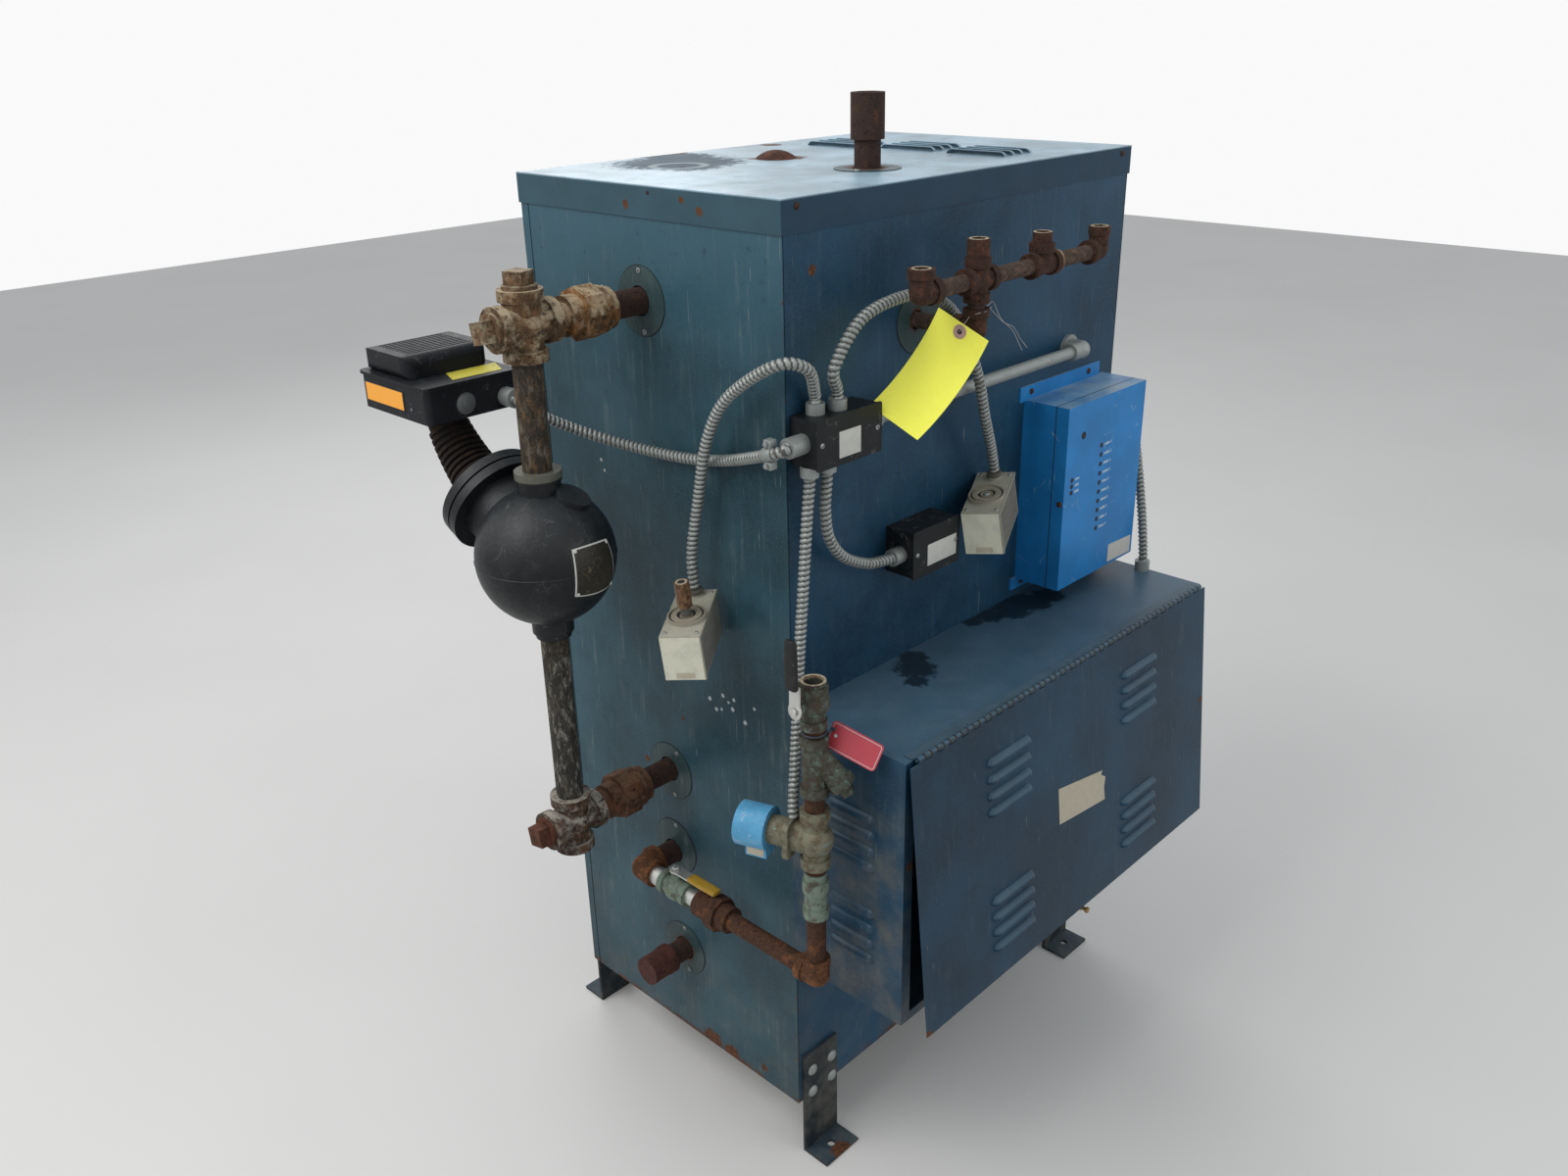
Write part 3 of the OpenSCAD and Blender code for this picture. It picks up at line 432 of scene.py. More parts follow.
class Look:
    """A material built in layers from expressions on the place of each point, in millimetres."""

    def __init__(self, name, specular=0.5):
        self.material = bpy.data.materials.new(name)
        self.material.use_nodes = True
        self.tree = self.material.node_tree
        self.tree.nodes.clear()
        self.shader = self.tree.nodes.new("ShaderNodeBsdfPrincipled")
        self.shader.inputs["Specular IOR Level"].default_value = specular
        add_node(self.tree, "ShaderNodeOutputMaterial", None, {"Surface": self.shader.outputs[0]})
        metres = self.node("ShaderNodeTexCoord", output="Object")
        self.spot = self.vector("MULTIPLY", metres, (1000, 1000, 1000))
        parts = add_node(self.tree, "ShaderNodeSeparateXYZ", None, {0: self.spot})
        self.x, self.y, self.z = (Flow(self, part) for part in parts)
        self.base = None
        LOOKS[name] = self.material

    def node(self, kind, settings=None, sockets=None, output=0):
        """Adds a node and returns one of its outputs."""
        return Flow(self, add_node(self.tree, kind, settings, sockets)[output])

    def math(self, operation, a, b=0.0):
        """A Math node on two flows or numbers."""
        return self.node("ShaderNodeMath", {"operation": operation}, {0: a, 1: b})

    def vector(self, operation, a, b, output=0):
        """A Vector Math node on two flows or vectors."""
        return self.node("ShaderNodeVectorMath", {"operation": operation}, {0: a, 1: b}, output)

    def distance(self, x, y, z):
        """How far each point is from one place."""
        return self.vector("DISTANCE", self.spot, (x, y, z), "Value")

    def mix(self, factor, a, b):
        """Colour a where factor is 0, b where it is 1."""
        a, b = (value if isinstance(value, Flow) else (*value, 1) for value in (a, b))
        return self.node("ShaderNodeMix", {"data_type": "RGBA"}, {0: factor, 6: a, 7: b}, 2)

    def coat(self, factor, colour):
        """Lays a colour over the layers below it, as densely as factor says."""
        self.base = self.mix(factor, self.base, colour)

    def noise(self, size, detail=3.0, rough=0.55, stretch=(1, 1, 1), shift=0.0):
        """Cloudy noise whose lumps are about size millimetres wide."""
        where = self.vector("MULTIPLY", self.spot, tuple(1 / (size * s) for s in stretch))
        if shift:
            where = self.vector("ADD", where, (shift, shift * 1.7, shift * 0.6))
        return self.node("ShaderNodeTexNoise", {"noise_dimensions": "3D"},
                         {"Vector": where, "Scale": 1.0, "Detail": detail, "Roughness": rough})

    def lines(self, size, width, shift):
        """Thin wandering lines, such as scratches."""
        return 1.0 - abs(self.noise(size, 2.0, 0.5, shift=shift) - 0.5).above(width * 0.3, width)

    def facing_up(self):
        """How far the surface faces up, from -1 to 1."""
        normal = self.node("ShaderNodeNewGeometry", output="Normal")
        return self.node("ShaderNodeSeparateXYZ", None, {0: normal}, 2)

    def near(self, spots):
        """1 at each listed (x, y, z, radius), falling to 0 at its radius, with a ragged edge."""
        ragged = (self.noise(11, 4.0, 0.7, shift=3.3) - 0.5) * 1.1
        total = None
        for *spot, radius in spots:
            part = (1.0 - self.distance(*spot) / radius + ragged).above(0.15, 0.45)
            total = part if total is None else total.most(part)
        return total

    def finish(self, rough, metal=0.0, bump=None, depth=0.3):
        """Feeds the shader: bump is a height from 0 to 1 that stands for depth millimetres."""
        for name, value in (("Base Color", self.base), ("Roughness", rough)):
            if isinstance(value, Flow):
                self.tree.links.new(value.socket, self.shader.inputs[name])
            else:
                self.shader.inputs[name].default_value = value
        self.shader.inputs["Metallic"].default_value = metal
        if bump is not None:
            sockets = {"Height": bump, "Distance": depth * MM, "Strength": 1.0}
            normal = self.node("ShaderNodeBump", None, sockets)
            self.tree.links.new(normal.socket, self.shader.inputs["Normal"])
        return self.material


def shade(colour, factor):
    """A colour made lighter or darker."""
    return tuple(min(1.0, c * factor) for c in colour)


# Kinds of finish


def worn_paint(name, colour, rust_spots=(), pale_spots=(), wet_spots=(), chalk=0.25, dust=0.35, edge=True,
               gloss=0.42, top_dust_and_sheen=0.35, streaks=0.5, dirt=(100, 520), up_range=(0.5, 0.95), lit_top=1.0):
    """Old enamel on sheet metal: fine texture, tone patches, chalky runs, dust, streaks and rusty chips.

    dirt is the range of heights where dirt thins out, up_range the range of slopes where dust and a painted
    sky sheen lie, and lit_top says how much brighter the paint is painted at its top, as painted light.
    """
    finish = bpy.context.scene.boiler_finish
    look = Look(name, 0.22)
    fine = look.noise(2.2, 3.0, 0.6)
    runs = look.noise(10, 3.0, 0.6, stretch=(1, 1, 22), shift=2.0)
    blotch = look.noise(55, 5.0, 0.65, shift=5.1)
    look.base = look.mix(look.noise(170, 4.0, 0.6).above(0.3, 0.72), shade(colour, 0.62), shade(colour, 1.40))
    # Painted light: the upper part of the paint made brighter
    if lit_top != 1.0:
        look.coat(look.z.above(1180, 1440) * 0.8, shade(colour, lit_top))
    look.coat(fine.above(0.42, 0.72) * 0.40, shade(colour, 2.1))
    look.coat(look.noise(24, 6.0, 0.75, shift=8.0).above(0.58, 0.70) * 0.5, shade(colour, 0.40))
    look.coat(runs.above(0.50, 0.78) * blotch.above(0.40, 0.65) * chalk, (0.12, 0.16, 0.165))
    dirty = (1.0 - look.z.above(*dirt)) * blotch.above(0.35, 0.70) * 0.75 + 0.12 * blotch.above(0.5, 0.8)
    look.coat(dirty * dust, (0.115, 0.11, 0.09))
    # Dust, with a painted sky sheen, on faces that look up
    look.coat(look.facing_up().above(*up_range) * (0.35 + 0.65 * blotch) * top_dust_and_sheen, (0.085, 0.145, 0.195))
    line = (look.noise(2.2, 2.0, 0.5, stretch=(1, 1, 34), shift=11.0).above(0.66, 0.72)
            * look.noise(46, 2.0, 0.5, shift=13.0).above(0.52, 0.62))
    look.coat(line * streaks, (0.17, 0.21, 0.21))
    if pale_spots:
        look.coat(look.near(pale_spots), (0.36, 0.40, 0.40))
    if wet_spots:
        look.coat(look.near(wet_spots) * 0.85, shade(colour, 0.16))
    chips = look.noise(9, 6.0, 0.72, shift=23.0)
    worn = chips.above(0.715, 0.735) * blotch.above(0.5, 0.62)
    if edge:
        rim = abs(abs(look.x) - HALF_WIDTH).most(abs(abs(look.y) - HALF_DEPTH))
        near_rim = 1.0 - rim.above(0.0, 9.0)
        worn = worn.most((chips + near_rim * 0.13).above(0.72, 0.75) * near_rim.above(0.02, 0.3))
        rusty_foot = look.noise(38, 4.0, 0.65, shift=31.0).above(0.40, 0.58)
        worn = worn.most((1.0 - look.z.above(104, 117)) * rusty_foot)
    if rust_spots:
        worn = worn.most(look.near(rust_spots))
    patches = look.noise(4, 5.0, 0.7, shift=29.0).above(0.35, 0.65)
    look.coat(worn, look.mix(patches, shade(finish.rust, 0.9), finish.fresh_rust))
    rough = 0.32 + 0.22 * blotch + worn * 0.35 + line * 0.2
    height = fine * 0.35 + look.noise(0.9, 2.0, 0.5) * 0.25 + chips * worn * 0.5
    return look.finish(rough * (gloss / 0.42), 0.0, height, 0.22)


def rusty_iron(name, dark, bright, bright_share=0.5, crust=0.5, pale=0.0, pale_colour=None,
               stretch=(1, 1, 1), size=1.0, low=None):
    """Rusted pipe or fitting: pitted, with brighter patches and sometimes a pale crust.

    low gives the dark, bright and pale colours that hold below the float chamber.
    """
    look = Look(name, 0.2)
    below = 1.0 - look.z.above(860, 900)

    def tint(index, factor=1.0):
        colour = shade((dark, bright, pale_colour)[index], factor)
        return colour if low is None else look.mix(below, colour, shade(low[index], factor))

    patch = look.noise(16 * size, 6.0, 0.7, stretch)
    grit = look.noise(2.6, 5.0, 0.75, shift=4.0)
    pits = look.noise(6 * size, 4.0, 0.7, stretch, shift=9.0)
    share = patch.above(0.62 - 0.35 * bright_share, 0.80 - 0.30 * bright_share)
    look.base = look.mix(share, tint(0), tint(1))
    look.coat(grit.above(0.45, 0.75) * 0.55, tint(1, 1.35))
    if pale:
        film = look.noise(13 * size, 7.0, 0.78, stretch, shift=14.0)
        film = film + 0.16 * look.facing_up().above(-0.4, 0.9)
        look.coat(film.above(0.62 - 0.15 * pale, 0.84 - 0.14 * pale) * 0.75, tint(2))
    look.coat(pits.above(0.54, 0.66) * 0.85, tint(0, 0.38))
    return look.finish(0.66 + grit * 0.3, 0.0, patch * 0.5 * crust + pits * 0.6 + grit * 0.4, 0.9)


def patina_bronze(name, green, brown, share):
    """Bronze valve body: brown metal under a mottled green film, with pale bloom in the hollows."""
    look = Look(name, 0.25)
    patch = look.noise(14, 6.0, 0.7)
    grit = look.noise(3, 5.0, 0.7, shift=3.0)
    look.base = look.mix(patch.above(0.55 - share * 0.3, 0.72 - share * 0.25), brown, green)
    look.coat(look.noise(11, 6.0, 0.75, shift=17.0).above(0.56, 0.66) * 0.7, (0.17, 0.27, 0.235))
    look.coat(grit.above(0.52, 0.72) * 0.4, shade(green, 1.5))
    look.coat(look.noise(7, 5.0, 0.7, shift=6.0).above(0.60, 0.70) * 0.6, shade(brown, 0.45))
    return look.finish(0.52 + grit * 0.3, 0.25, patch * 0.4 + grit * 0.5, 0.6)


def plain_metal(name, colour, metal=0.85, rough=0.38, dirt_share=0.4):
    """Zinc, bright steel or brass with dirt in patches."""
    look = Look(name)
    patch = look.noise(12, 5.0, 0.65)
    fine = look.noise(1.6, 3.0, 0.6, shift=2.0)
    look.base = look.mix(fine * 0.5, shade(colour, 0.8), shade(colour, 1.2))
    look.coat(patch.above(0.70 - 0.3 * dirt_share, 0.85 - 0.25 * dirt_share) * 0.75, (0.10, 0.085, 0.06))
    return look.finish(rough + patch * 0.25, metal, fine * 0.4 + patch * 0.3, 0.144)


def dusty_plastic(name, colour, rough=0.45, dust=0.35, dust_colour=(0.16, 0.15, 0.13), spread=1.0,
                  specular=0.3, stem=None):
    """Plastic, rubber or smooth paint with dust and scuffs.

    stem is the frame of a pressure control: it adds a dirty side, a grey base and a rusty hexagon.
    """
    look = Look(name, specular)
    patch = look.noise(26 * spread, 5.0, 0.65)
    fine = look.noise(1.4, 3.0, 0.6, shift=2.0)
    scuff = look.lines(22, 0.014, 7.0) * look.noise(18, 2.0, 0.5, shift=9.0).above(0.52, 0.62)
    look.base = look.mix(patch.above(0.3, 0.7) * 0.5, shade(colour, 0.78), shade(colour, 1.22))
    look.coat(patch.above(0.52, 0.8) * dust, dust_colour)
    look.coat(fine.above(0.5, 0.8) * 0.3 * dust, shade(dust_colour, 1.5))
    look.coat(scuff * 0.35, shade(dust_colour, 2.0))
    if stem is not None:
        away = look.vector("SUBTRACT", look.spot, tuple(stem.translation))
        side, up = (look.vector("DOT_PRODUCT", away, tuple(stem.col[k].xyz), "Value") for k in (0, 2))
        grime = look.noise(9, 5.0, 0.7, shift=6.0)
        rusty = look.mix(grime.above(0.35, 0.65), (0.055, 0.024, 0.012), (0.20, 0.115, 0.055))
        look.coat(side.above(25.2, 25.8) * (0.45 + 0.5 * grime), (0.085, 0.080, 0.062))
        look.coat(up.above(31.0, 31.6) * (0.5 + 0.5 * grime), (0.27, 0.26, 0.21))
        look.coat(up.above(35.8, 36.4), look.mix(grime, (0.15, 0.145, 0.125), (0.06, 0.055, 0.042)))
        look.coat(up.above(49.6, 50.4), rusty)
    return look.finish(rough + patch * 0.2, 0.0, fine, 0.25)


def flat_colour(name, colour, rough=0.5, variation=0.12, grain=0.05):
    """Print, card or small parts: one colour with a little unevenness."""
    look = Look(name)
    cloud = look.noise(9, 4.0, 0.6)
    look.base = look.mix(cloud, shade(colour, 1 - variation), shade(colour, 1 + variation))
    return look.finish(rough + cloud * 0.1, 0.0, look.noise(1.2, 2.0, 0.5), grain)


def lid_look(bleached, narrow, wide):
    """Top of the lid: bleached and water-marked, with rust spots; its skirt is dark paint, with painted shade
    on its wide side.
    """
    finish = bpy.context.scene.boiler_finish
    look = Look("lid_paint", 0.3)
    low, high = span("lid")
    z = high.z
    top = look.z.above(z - 9.5, z - 7.5)
    cloud = look.noise(140, 5.0, 0.62)
    stain = look.noise(42, 6.0, 0.7, shift=4.0)
    dent = look.near([(-176, 150, z, 130), (-206, 96, z, 70), (-120, 215, z, 80)])
    ring = abs(look.distance(-204, 118, z) - 38.0)
    look.base = look.mix(cloud.above(0.32, 0.68), shade(bleached, 0.72), shade(bleached, 1.25))
    look.coat(stain.above(0.58, 0.70) * 0.55, shade(bleached, 0.45))
    look.coat(look.noise(6, 5.0, 0.7, shift=7.0).above(0.60, 0.75) * 0.4, (0.62, 0.68, 0.70))
    look.coat(dent * 0.92, (0.022, 0.045, 0.070))
    look.coat((1.0 - ring.above(3.0, 9.0)) * dent * 0.7, (0.30, 0.36, 0.38))
    cloudy = look.noise(60, 4.0, 0.6, shift=2.0)
    # The skirt's front takes the wide side's paint with its painted shade; the rest takes the narrow side's
    # paint
    skirts = [look.mix(cloudy, shade(paint, dim), shade(paint, lit))
              for paint, dim, lit in ((wide, 0.6, 1.1), (narrow, 0.8, 1.6))]
    look.coat(1.0 - top, look.mix(look.y.above(low.y + 0.3, low.y + 0.8), *skirts))
    spots = look.near([
        (-216, 96, z, 11), (-124, 208, z, 9), (94, 228, z, 26), (-75, 259, z, 18), (-38, 60, z, 36),
        (-78, 96, z, 16), (109, -120, z, 12), (-300, -80, z, 7), (-383, 22, 1439, 8), (-383, -86, 1452, 6),
        (-383, -118, 1441, 9), (330, 60, z, 10)])
    look.coat(spots, look.mix(look.noise(5, 5.0, 0.7, shift=9.0), finish.rust, finish.fresh_rust))
    rough = 0.26 + 0.25 * stain + spots * 0.4 + dent * top * 0.3 + (1.0 - top) * 0.2
    return look.finish(rough, 0.0, cloud * 0.7 + stain * 0.25 + look.noise(1.5, 2.0, 0.5) * 0.04, 1.4)


def control_look(colour):
    """Bright enamel of the control box, a little faded and dirty at its edges."""
    look = Look("control_paint", 0.3)
    cloud = look.noise(80, 4.0, 0.6)
    fine = look.noise(1.8, 3.0, 0.6, shift=1.0)
    scratches = look.lines(45, 0.010, 8.0) * look.noise(35, 2.0, 0.5, shift=3.0).above(0.56, 0.64)
    look.base = look.mix(cloud.above(0.3, 0.7), shade(colour, 0.86), shade(colour, 1.15))
    look.coat(fine.above(0.45, 0.8) * 0.2, shade(colour, 1.6))
    look.coat(look.noise(18, 6.0, 0.75, shift=5.0).above(0.66, 0.74) * 0.5, (0.03, 0.07, 0.11))
    look.coat(look.facing_up().above(0.5, 0.95) * (0.25 + 0.75 * cloud.above(0.35, 0.65)), (0.24, 0.36, 0.46))
    look.coat(scratches * 0.5, (0.30, 0.42, 0.50))
    return look.finish(0.34 + 0.15 * cloud, 0.0, fine, 0.10)


def black_cast_look():
    """Black painted casting with a rough skin, pale dust on top and scuffs."""
    look = Look("black_casting", 0.25)
    skin = look.noise(5, 5.0, 0.65)
    lumps = look.noise(28, 4.0, 0.6, shift=3.0)
    look.base = look.mix(lumps.above(0.35, 0.7), (0.005, 0.006, 0.008), (0.012, 0.014, 0.016))
    look.coat(look.facing_up().above(0.15, 0.95) * (0.2 + lumps * 0.4), (0.036, 0.042, 0.045))
    look.coat(look.noise(9, 6.0, 0.75, shift=8.0).above(0.62, 0.70) * 0.4, (0.09, 0.09, 0.082))
    look.coat(look.noise(14, 6.0, 0.7, shift=12.0).above(0.70, 0.73) * 0.8, (0.10, 0.055, 0.03))
    fleck = look.noise(3.2, 4.0, 0.7, shift=21.0).above(0.68, 0.72) * lumps.above(0.42, 0.6)
    look.coat(fleck * 0.7, (0.17, 0.16, 0.13))
    look.coat(look.lines(26, 0.012, 25.0) * lumps.above(0.5, 0.65) * 0.4, (0.13, 0.13, 0.12))
    # The dusty collar on top of the chamber
    aside = abs(look.x - CHAMBER.x).most(abs(look.y - CHAMBER.y))
    collar = look.z.above(1121, 1123) * (1.0 - aside.above(31, 33))
    look.coat(collar * (0.4 + 0.6 * skin), (0.135, 0.135, 0.105))
    return look.finish(0.30 + 0.25 * skin, 0.0, skin * 0.7 + lumps * 0.5, 0.9)


def make_looks():
    """Makes every material of the boiler."""
    finish = bpy.context.scene.boiler_finish
    # wide is the wide side's paint, darker than narrow by painted shade; the lower box, its door and the
    # lid's skirt use it too
    wide, narrow, zinc = finish.shaded_wide_paint, finish.narrow_paint, finish.zinc
    worn_paint("shaded_wide_paint", wide, [(-330, -254, 1378, 9), (150, -254, 160, 22)])
    worn_paint(
        "narrow_paint", narrow,
        [(-381, -60, 110, 30), (-381, -105, 108, 26), (-381, -180, 128, 10), (-381, 60, 600, 7),
         (-381, 40, 1296, 8), (-381, -30, 705, 5)],
        [(-381, -92, 761, 5), (-381, -105, 748, 4), (-381, -120, 775, 5), (-381, -142, 776, 4),
         (-381, -139, 760, 5), (-381, -183, 777, 4), (-381, -164, 748, 5), (-381, -131, 768, 3),
         (-381, -116, 752, 3), (-381, 118, 1075, 4), (-381, 112, 1060, 3)],
        chalk=0.5, dust=0.35, streaks=0.7, lit_top=1.7)
    worn_paint(
        "plate_paint", (0.027, 0.050, 0.053),
        [(-382, 8, 1317, 21), (-382, 8, 603, 26), (-382, 10, 452, 24), (-382, -3, 269, 28),
         (-84, -129, 1466, 40), (-129, -255, 1285, 20)], edge=False, chalk=0.6, streaks=0.6)
    lid_look(finish.lid_paint, narrow, wide)
    worn_paint(
        "box_paint", wide, [(-372, -452, 640, 10), (368, -440, 500, 10), (-383, -300, 390, 24)],
        wet_spots=[(-170, -300, 799, 42), (-146, -274, 799, 30), (-200, -324, 799, 24), (45, -272, 799, 34),
                   (84, -284, 799, 44), (128, -290, 799, 46), (168, -296, 799, 36), (108, -262, 799, 40),
                   (12, -264, 799, 24)],
        edge=False, chalk=0.35, dust=0.75, gloss=0.36, top_dust_and_sheen=0.8, dirt=(600, 795))
    worn_paint(
        "door_paint", shade(wide, 0.72), [(-380, -499, 392, 12), (362, -480, 600, 8)],
        edge=False, chalk=0.2, dust=0.15, gloss=0.38, top_dust_and_sheen=0.75, up_range=(0.13, 0.45))
    worn_paint("hinge_paint", (0.030, 0.055, 0.070), edge=False, chalk=0.8, dust=0.9, top_dust_and_sheen=0.6)
    worn_paint(
        "foot_paint", (0.008, 0.013, 0.018), [(-335, -300, 2, 24)],
        edge=False, chalk=0.4, dust=0.8, gloss=0.6)
    control_look(finish.control_paint)
    rusty_iron("rusty_pipe", finish.rust, finish.fresh_rust, 0.35)
    rusty_iron("header_rust", (0.034, 0.018, 0.013), (0.088, 0.037, 0.021), 0.38)
    rusty_iron("header_pipe_rust", (0.050, 0.033, 0.026), (0.118, 0.076, 0.055), 0.45, size=0.7)
    rusty_iron("red_rust", (0.048, 0.021, 0.014), (0.118, 0.044, 0.024), 0.42)
    rusty_iron("dark_rust", (0.032, 0.020, 0.017), (0.082, 0.036, 0.022), 0.3)
    rusty_iron(
        "flaking_pipe", (0.026, 0.024, 0.020), (0.120, 0.066, 0.028), 0.34, 0.8, 0.65,
        (0.185, 0.160, 0.120), stretch=(1, 1, 2.6), size=0.7,
        low=((0.024, 0.023, 0.021), (0.075, 0.062, 0.046), (0.42, 0.40, 0.35)))
    rusty_iron(
        "crusted_bronze", (0.060, 0.036, 0.020), (0.165, 0.085, 0.038), 0.5, 1.1, 0.90,
        (0.47, 0.385, 0.260), size=1.7,
        low=((0.034, 0.023, 0.017), (0.100, 0.052, 0.029), (0.38, 0.36, 0.31)))
    rusty_iron(
        "crusted_plug", (0.070, 0.045, 0.026), (0.150, 0.085, 0.042), 0.5, 1.0, 0.80,
        (0.38, 0.32, 0.22), size=1.3,
        low=((0.046, 0.019, 0.012), (0.125, 0.047, 0.025), (0.110, 0.043, 0.024)))
    rusty_iron(
        "crusted_union", (0.062, 0.036, 0.018), (0.225, 0.105, 0.038), 0.5, 1.1, 0.80,
        (0.45, 0.36, 0.235), size=1.6,
        low=((0.042, 0.021, 0.012), (0.120, 0.052, 0.026), (0.135, 0.080, 0.048)))
    rusty_iron("orange_rust", (0.060, 0.026, 0.014), (0.190, 0.078, 0.031))
    rusty_iron("cap_rust", (0.052, 0.021, 0.017), (0.092, 0.035, 0.026), 0.4, 0.3)
    rusty_iron("neck_rust", (0.012, 0.010, 0.009), (0.040, 0.022, 0.013), 0.4, 0.4)
    rusty_iron(
        "worn_rim", (0.110, 0.072, 0.042), (0.26, 0.19, 0.115), 0.6, 0.5, 0.9, (0.50, 0.44, 0.33), size=0.5)
    patina_bronze("green_bronze", finish.patina, (0.050, 0.040, 0.029), 0.35)
    patina_bronze("pale_bronze", (0.165, 0.215, 0.170), (0.085, 0.078, 0.055), 0.7)
    patina_bronze("brown_bronze", (0.170, 0.165, 0.115), (0.100, 0.078, 0.048), 0.6)
    plain_metal("dull_zinc", zinc, 0.55, 0.42)
    plain_metal("spiral_zinc", zinc, 0.45, 0.40, 0.5)
    # Dirt and painted shade at the bottom of the conduits' grooves
    plain_metal("groove_dirt_and_shade", (0.085, 0.085, 0.075), 0.2, 0.6, 0.5)
    plain_metal("bright_zinc", (0.62, 0.62, 0.60), 0.9, 0.28, 0.25)
    plain_metal("dull_brass", (0.36, 0.24, 0.10), 0.8, 0.4, 0.5)
    plain_metal("dark_zinc", (0.17, 0.18, 0.18), 0.6, 0.42)
    plain_metal("thin_wire", (0.45, 0.44, 0.42), 0.7, 0.35, 0.2)
    black_cast_look()
    dusty_plastic("black_plastic", (0.010, 0.012, 0.015), 0.42, 0.06, (0.05, 0.055, 0.062), specular=0.17)
    dusty_plastic("black_box", (0.007, 0.009, 0.011), 0.36, 0.09, (0.09, 0.09, 0.085), specular=0.22)
    dusty_plastic("black_grip", (0.010, 0.010, 0.011), 0.45, 0.12)
    dusty_plastic("yellow_grip", (0.38, 0.23, 0.022), 0.25, 0.75, (0.16, 0.11, 0.05), 0.4)
    dusty_plastic("coil_blue", (0.085, 0.33, 0.56), 0.42, 0.45, (0.30, 0.33, 0.32))
    dusty_plastic("brown_dish", (0.30, 0.275, 0.21), 0.45, 0.7, (0.09, 0.075, 0.05), 0.4)
    dusty_plastic("worn_etched_plate", (0.016, 0.014, 0.010), 0.35, 0.7, (0.12, 0.095, 0.055), 0.12)
    dusty_plastic("grey_side", (0.20, 0.20, 0.185), 0.5, 0.6, (0.10, 0.09, 0.07))
    dusty_plastic("yellow_strip", (0.56, 0.50, 0.06), 0.5, 0.9, (0.10, 0.09, 0.05), 0.35)
    dusty_plastic("blue_tie", (0.030, 0.045, 0.065), 0.4, 0.3)
    flat_colour("yellow_card", (0.98, 0.96, 0.115), 0.75, 0.05, 0.1)
    flat_colour("red_plate", (0.43, 0.045, 0.065), 0.35, 0.1)
    flat_colour("pale_print", (0.55, 0.52, 0.50), 0.5, 0.1)
    flat_colour("pale_label", (0.50, 0.50, 0.46), 0.55, 0.12)
    flat_colour("cream_label", (0.42, 0.38, 0.29), 0.6, 0.18)
    flat_colour("orange_label", (0.80, 0.34, 0.035), 0.5, 0.1)
    flat_colour("dark_recess", (0.006, 0.006, 0.007), 0.7, 0.1)
    flat_colour("pale_lamp", (0.50, 0.62, 0.68), 0.3, 0.1)
    flat_colour("pink_ring", (0.42, 0.27, 0.24), 0.6, 0.15)
    for name, (spot, turns) in CONTROLS.items():
        dusty_plastic(name + "_enamel", (0.66, 0.65, 0.53), 0.38, 0.40, (0.30, 0.275, 0.21),
                      stem=turned(spot, turns))


def look_named(name):
    """A material of the boiler; the first call makes them all."""
    if name not in LOOKS:
        make_looks()
    return LOOKS[name]


# The CAD pieces that wear each look
LOOK_NODES = {
    "narrow_paint": "base narrow_panels back_panel", "shaded_wide_paint": "front_panel", "lid_paint": "lid",
    "dark_rust": "vessel steam_nipple steam_coupling wall_nipples", "foot_paint": "feet",
    "plate_paint": "escutcheons", "red_rust": "lid_plug", "flaking_pipe": "column_pipes",
    "crusted_bronze": "column_crosses", "crusted_plug": "column_plugs", "crusted_union": "column_unions",
    "black_casting": "float_chamber float_flange", "neck_rust": "float_neck",
    "black_plastic": "head_base head_cover", "rusty_pipe": "feed_pipe feed_union",
    "orange_rust": "feed_elbows", "pale_bronze": "feed_valve check_fitting", "yellow_grip": "feed_lever",
    "bright_zinc": "bright_nipples",
    "brown_bronze": "solenoid_valve", "coil_blue": "solenoid_coil", "green_bronze": "strainer inlet_valve",
    "black_grip": "inlet_lever", "cap_rust": "drain_cap", "header_pipe_rust": "header_pipe",
    "header_rust": "header_fittings", "black_box": "junction_box_left junction_box_right",
    "dull_zinc": "rigid_conduit conduit_fittings", "control_paint": "control_box control_cover",
    "box_paint": "lower_box", "door_paint": "lower_door", "hinge_paint": "door_hinge",
    "left_control_enamel": "left_control", "right_control_enamel": "right_control", "red_plate": "valve_tag",
    "yellow_card": "paper_tag", "dull_brass": "drain_cock",
    "spiral_zinc": "flex_head flex_left_control flex_right_control flex_solenoid flex_box flex_heater",
}
NODE_LOOKS = {node: look for look, nodes in LOOK_NODES.items() for node in nodes.split()}
SHEET_METAL = """base front_panel narrow_panels back_panel lid feet escutcheons control_box control_cover
    lower_box lower_door junction_box_left junction_box_right""".split()
CAST = """column_crosses column_plugs column_unions feed_elbows feed_union feed_valve check_fitting
    solenoid_valve strainer inlet_valve drain_cap header_fittings float_flange float_chamber float_neck
    steam_coupling head_base head_cover left_control right_control conduit_fittings solenoid_coil""".split()


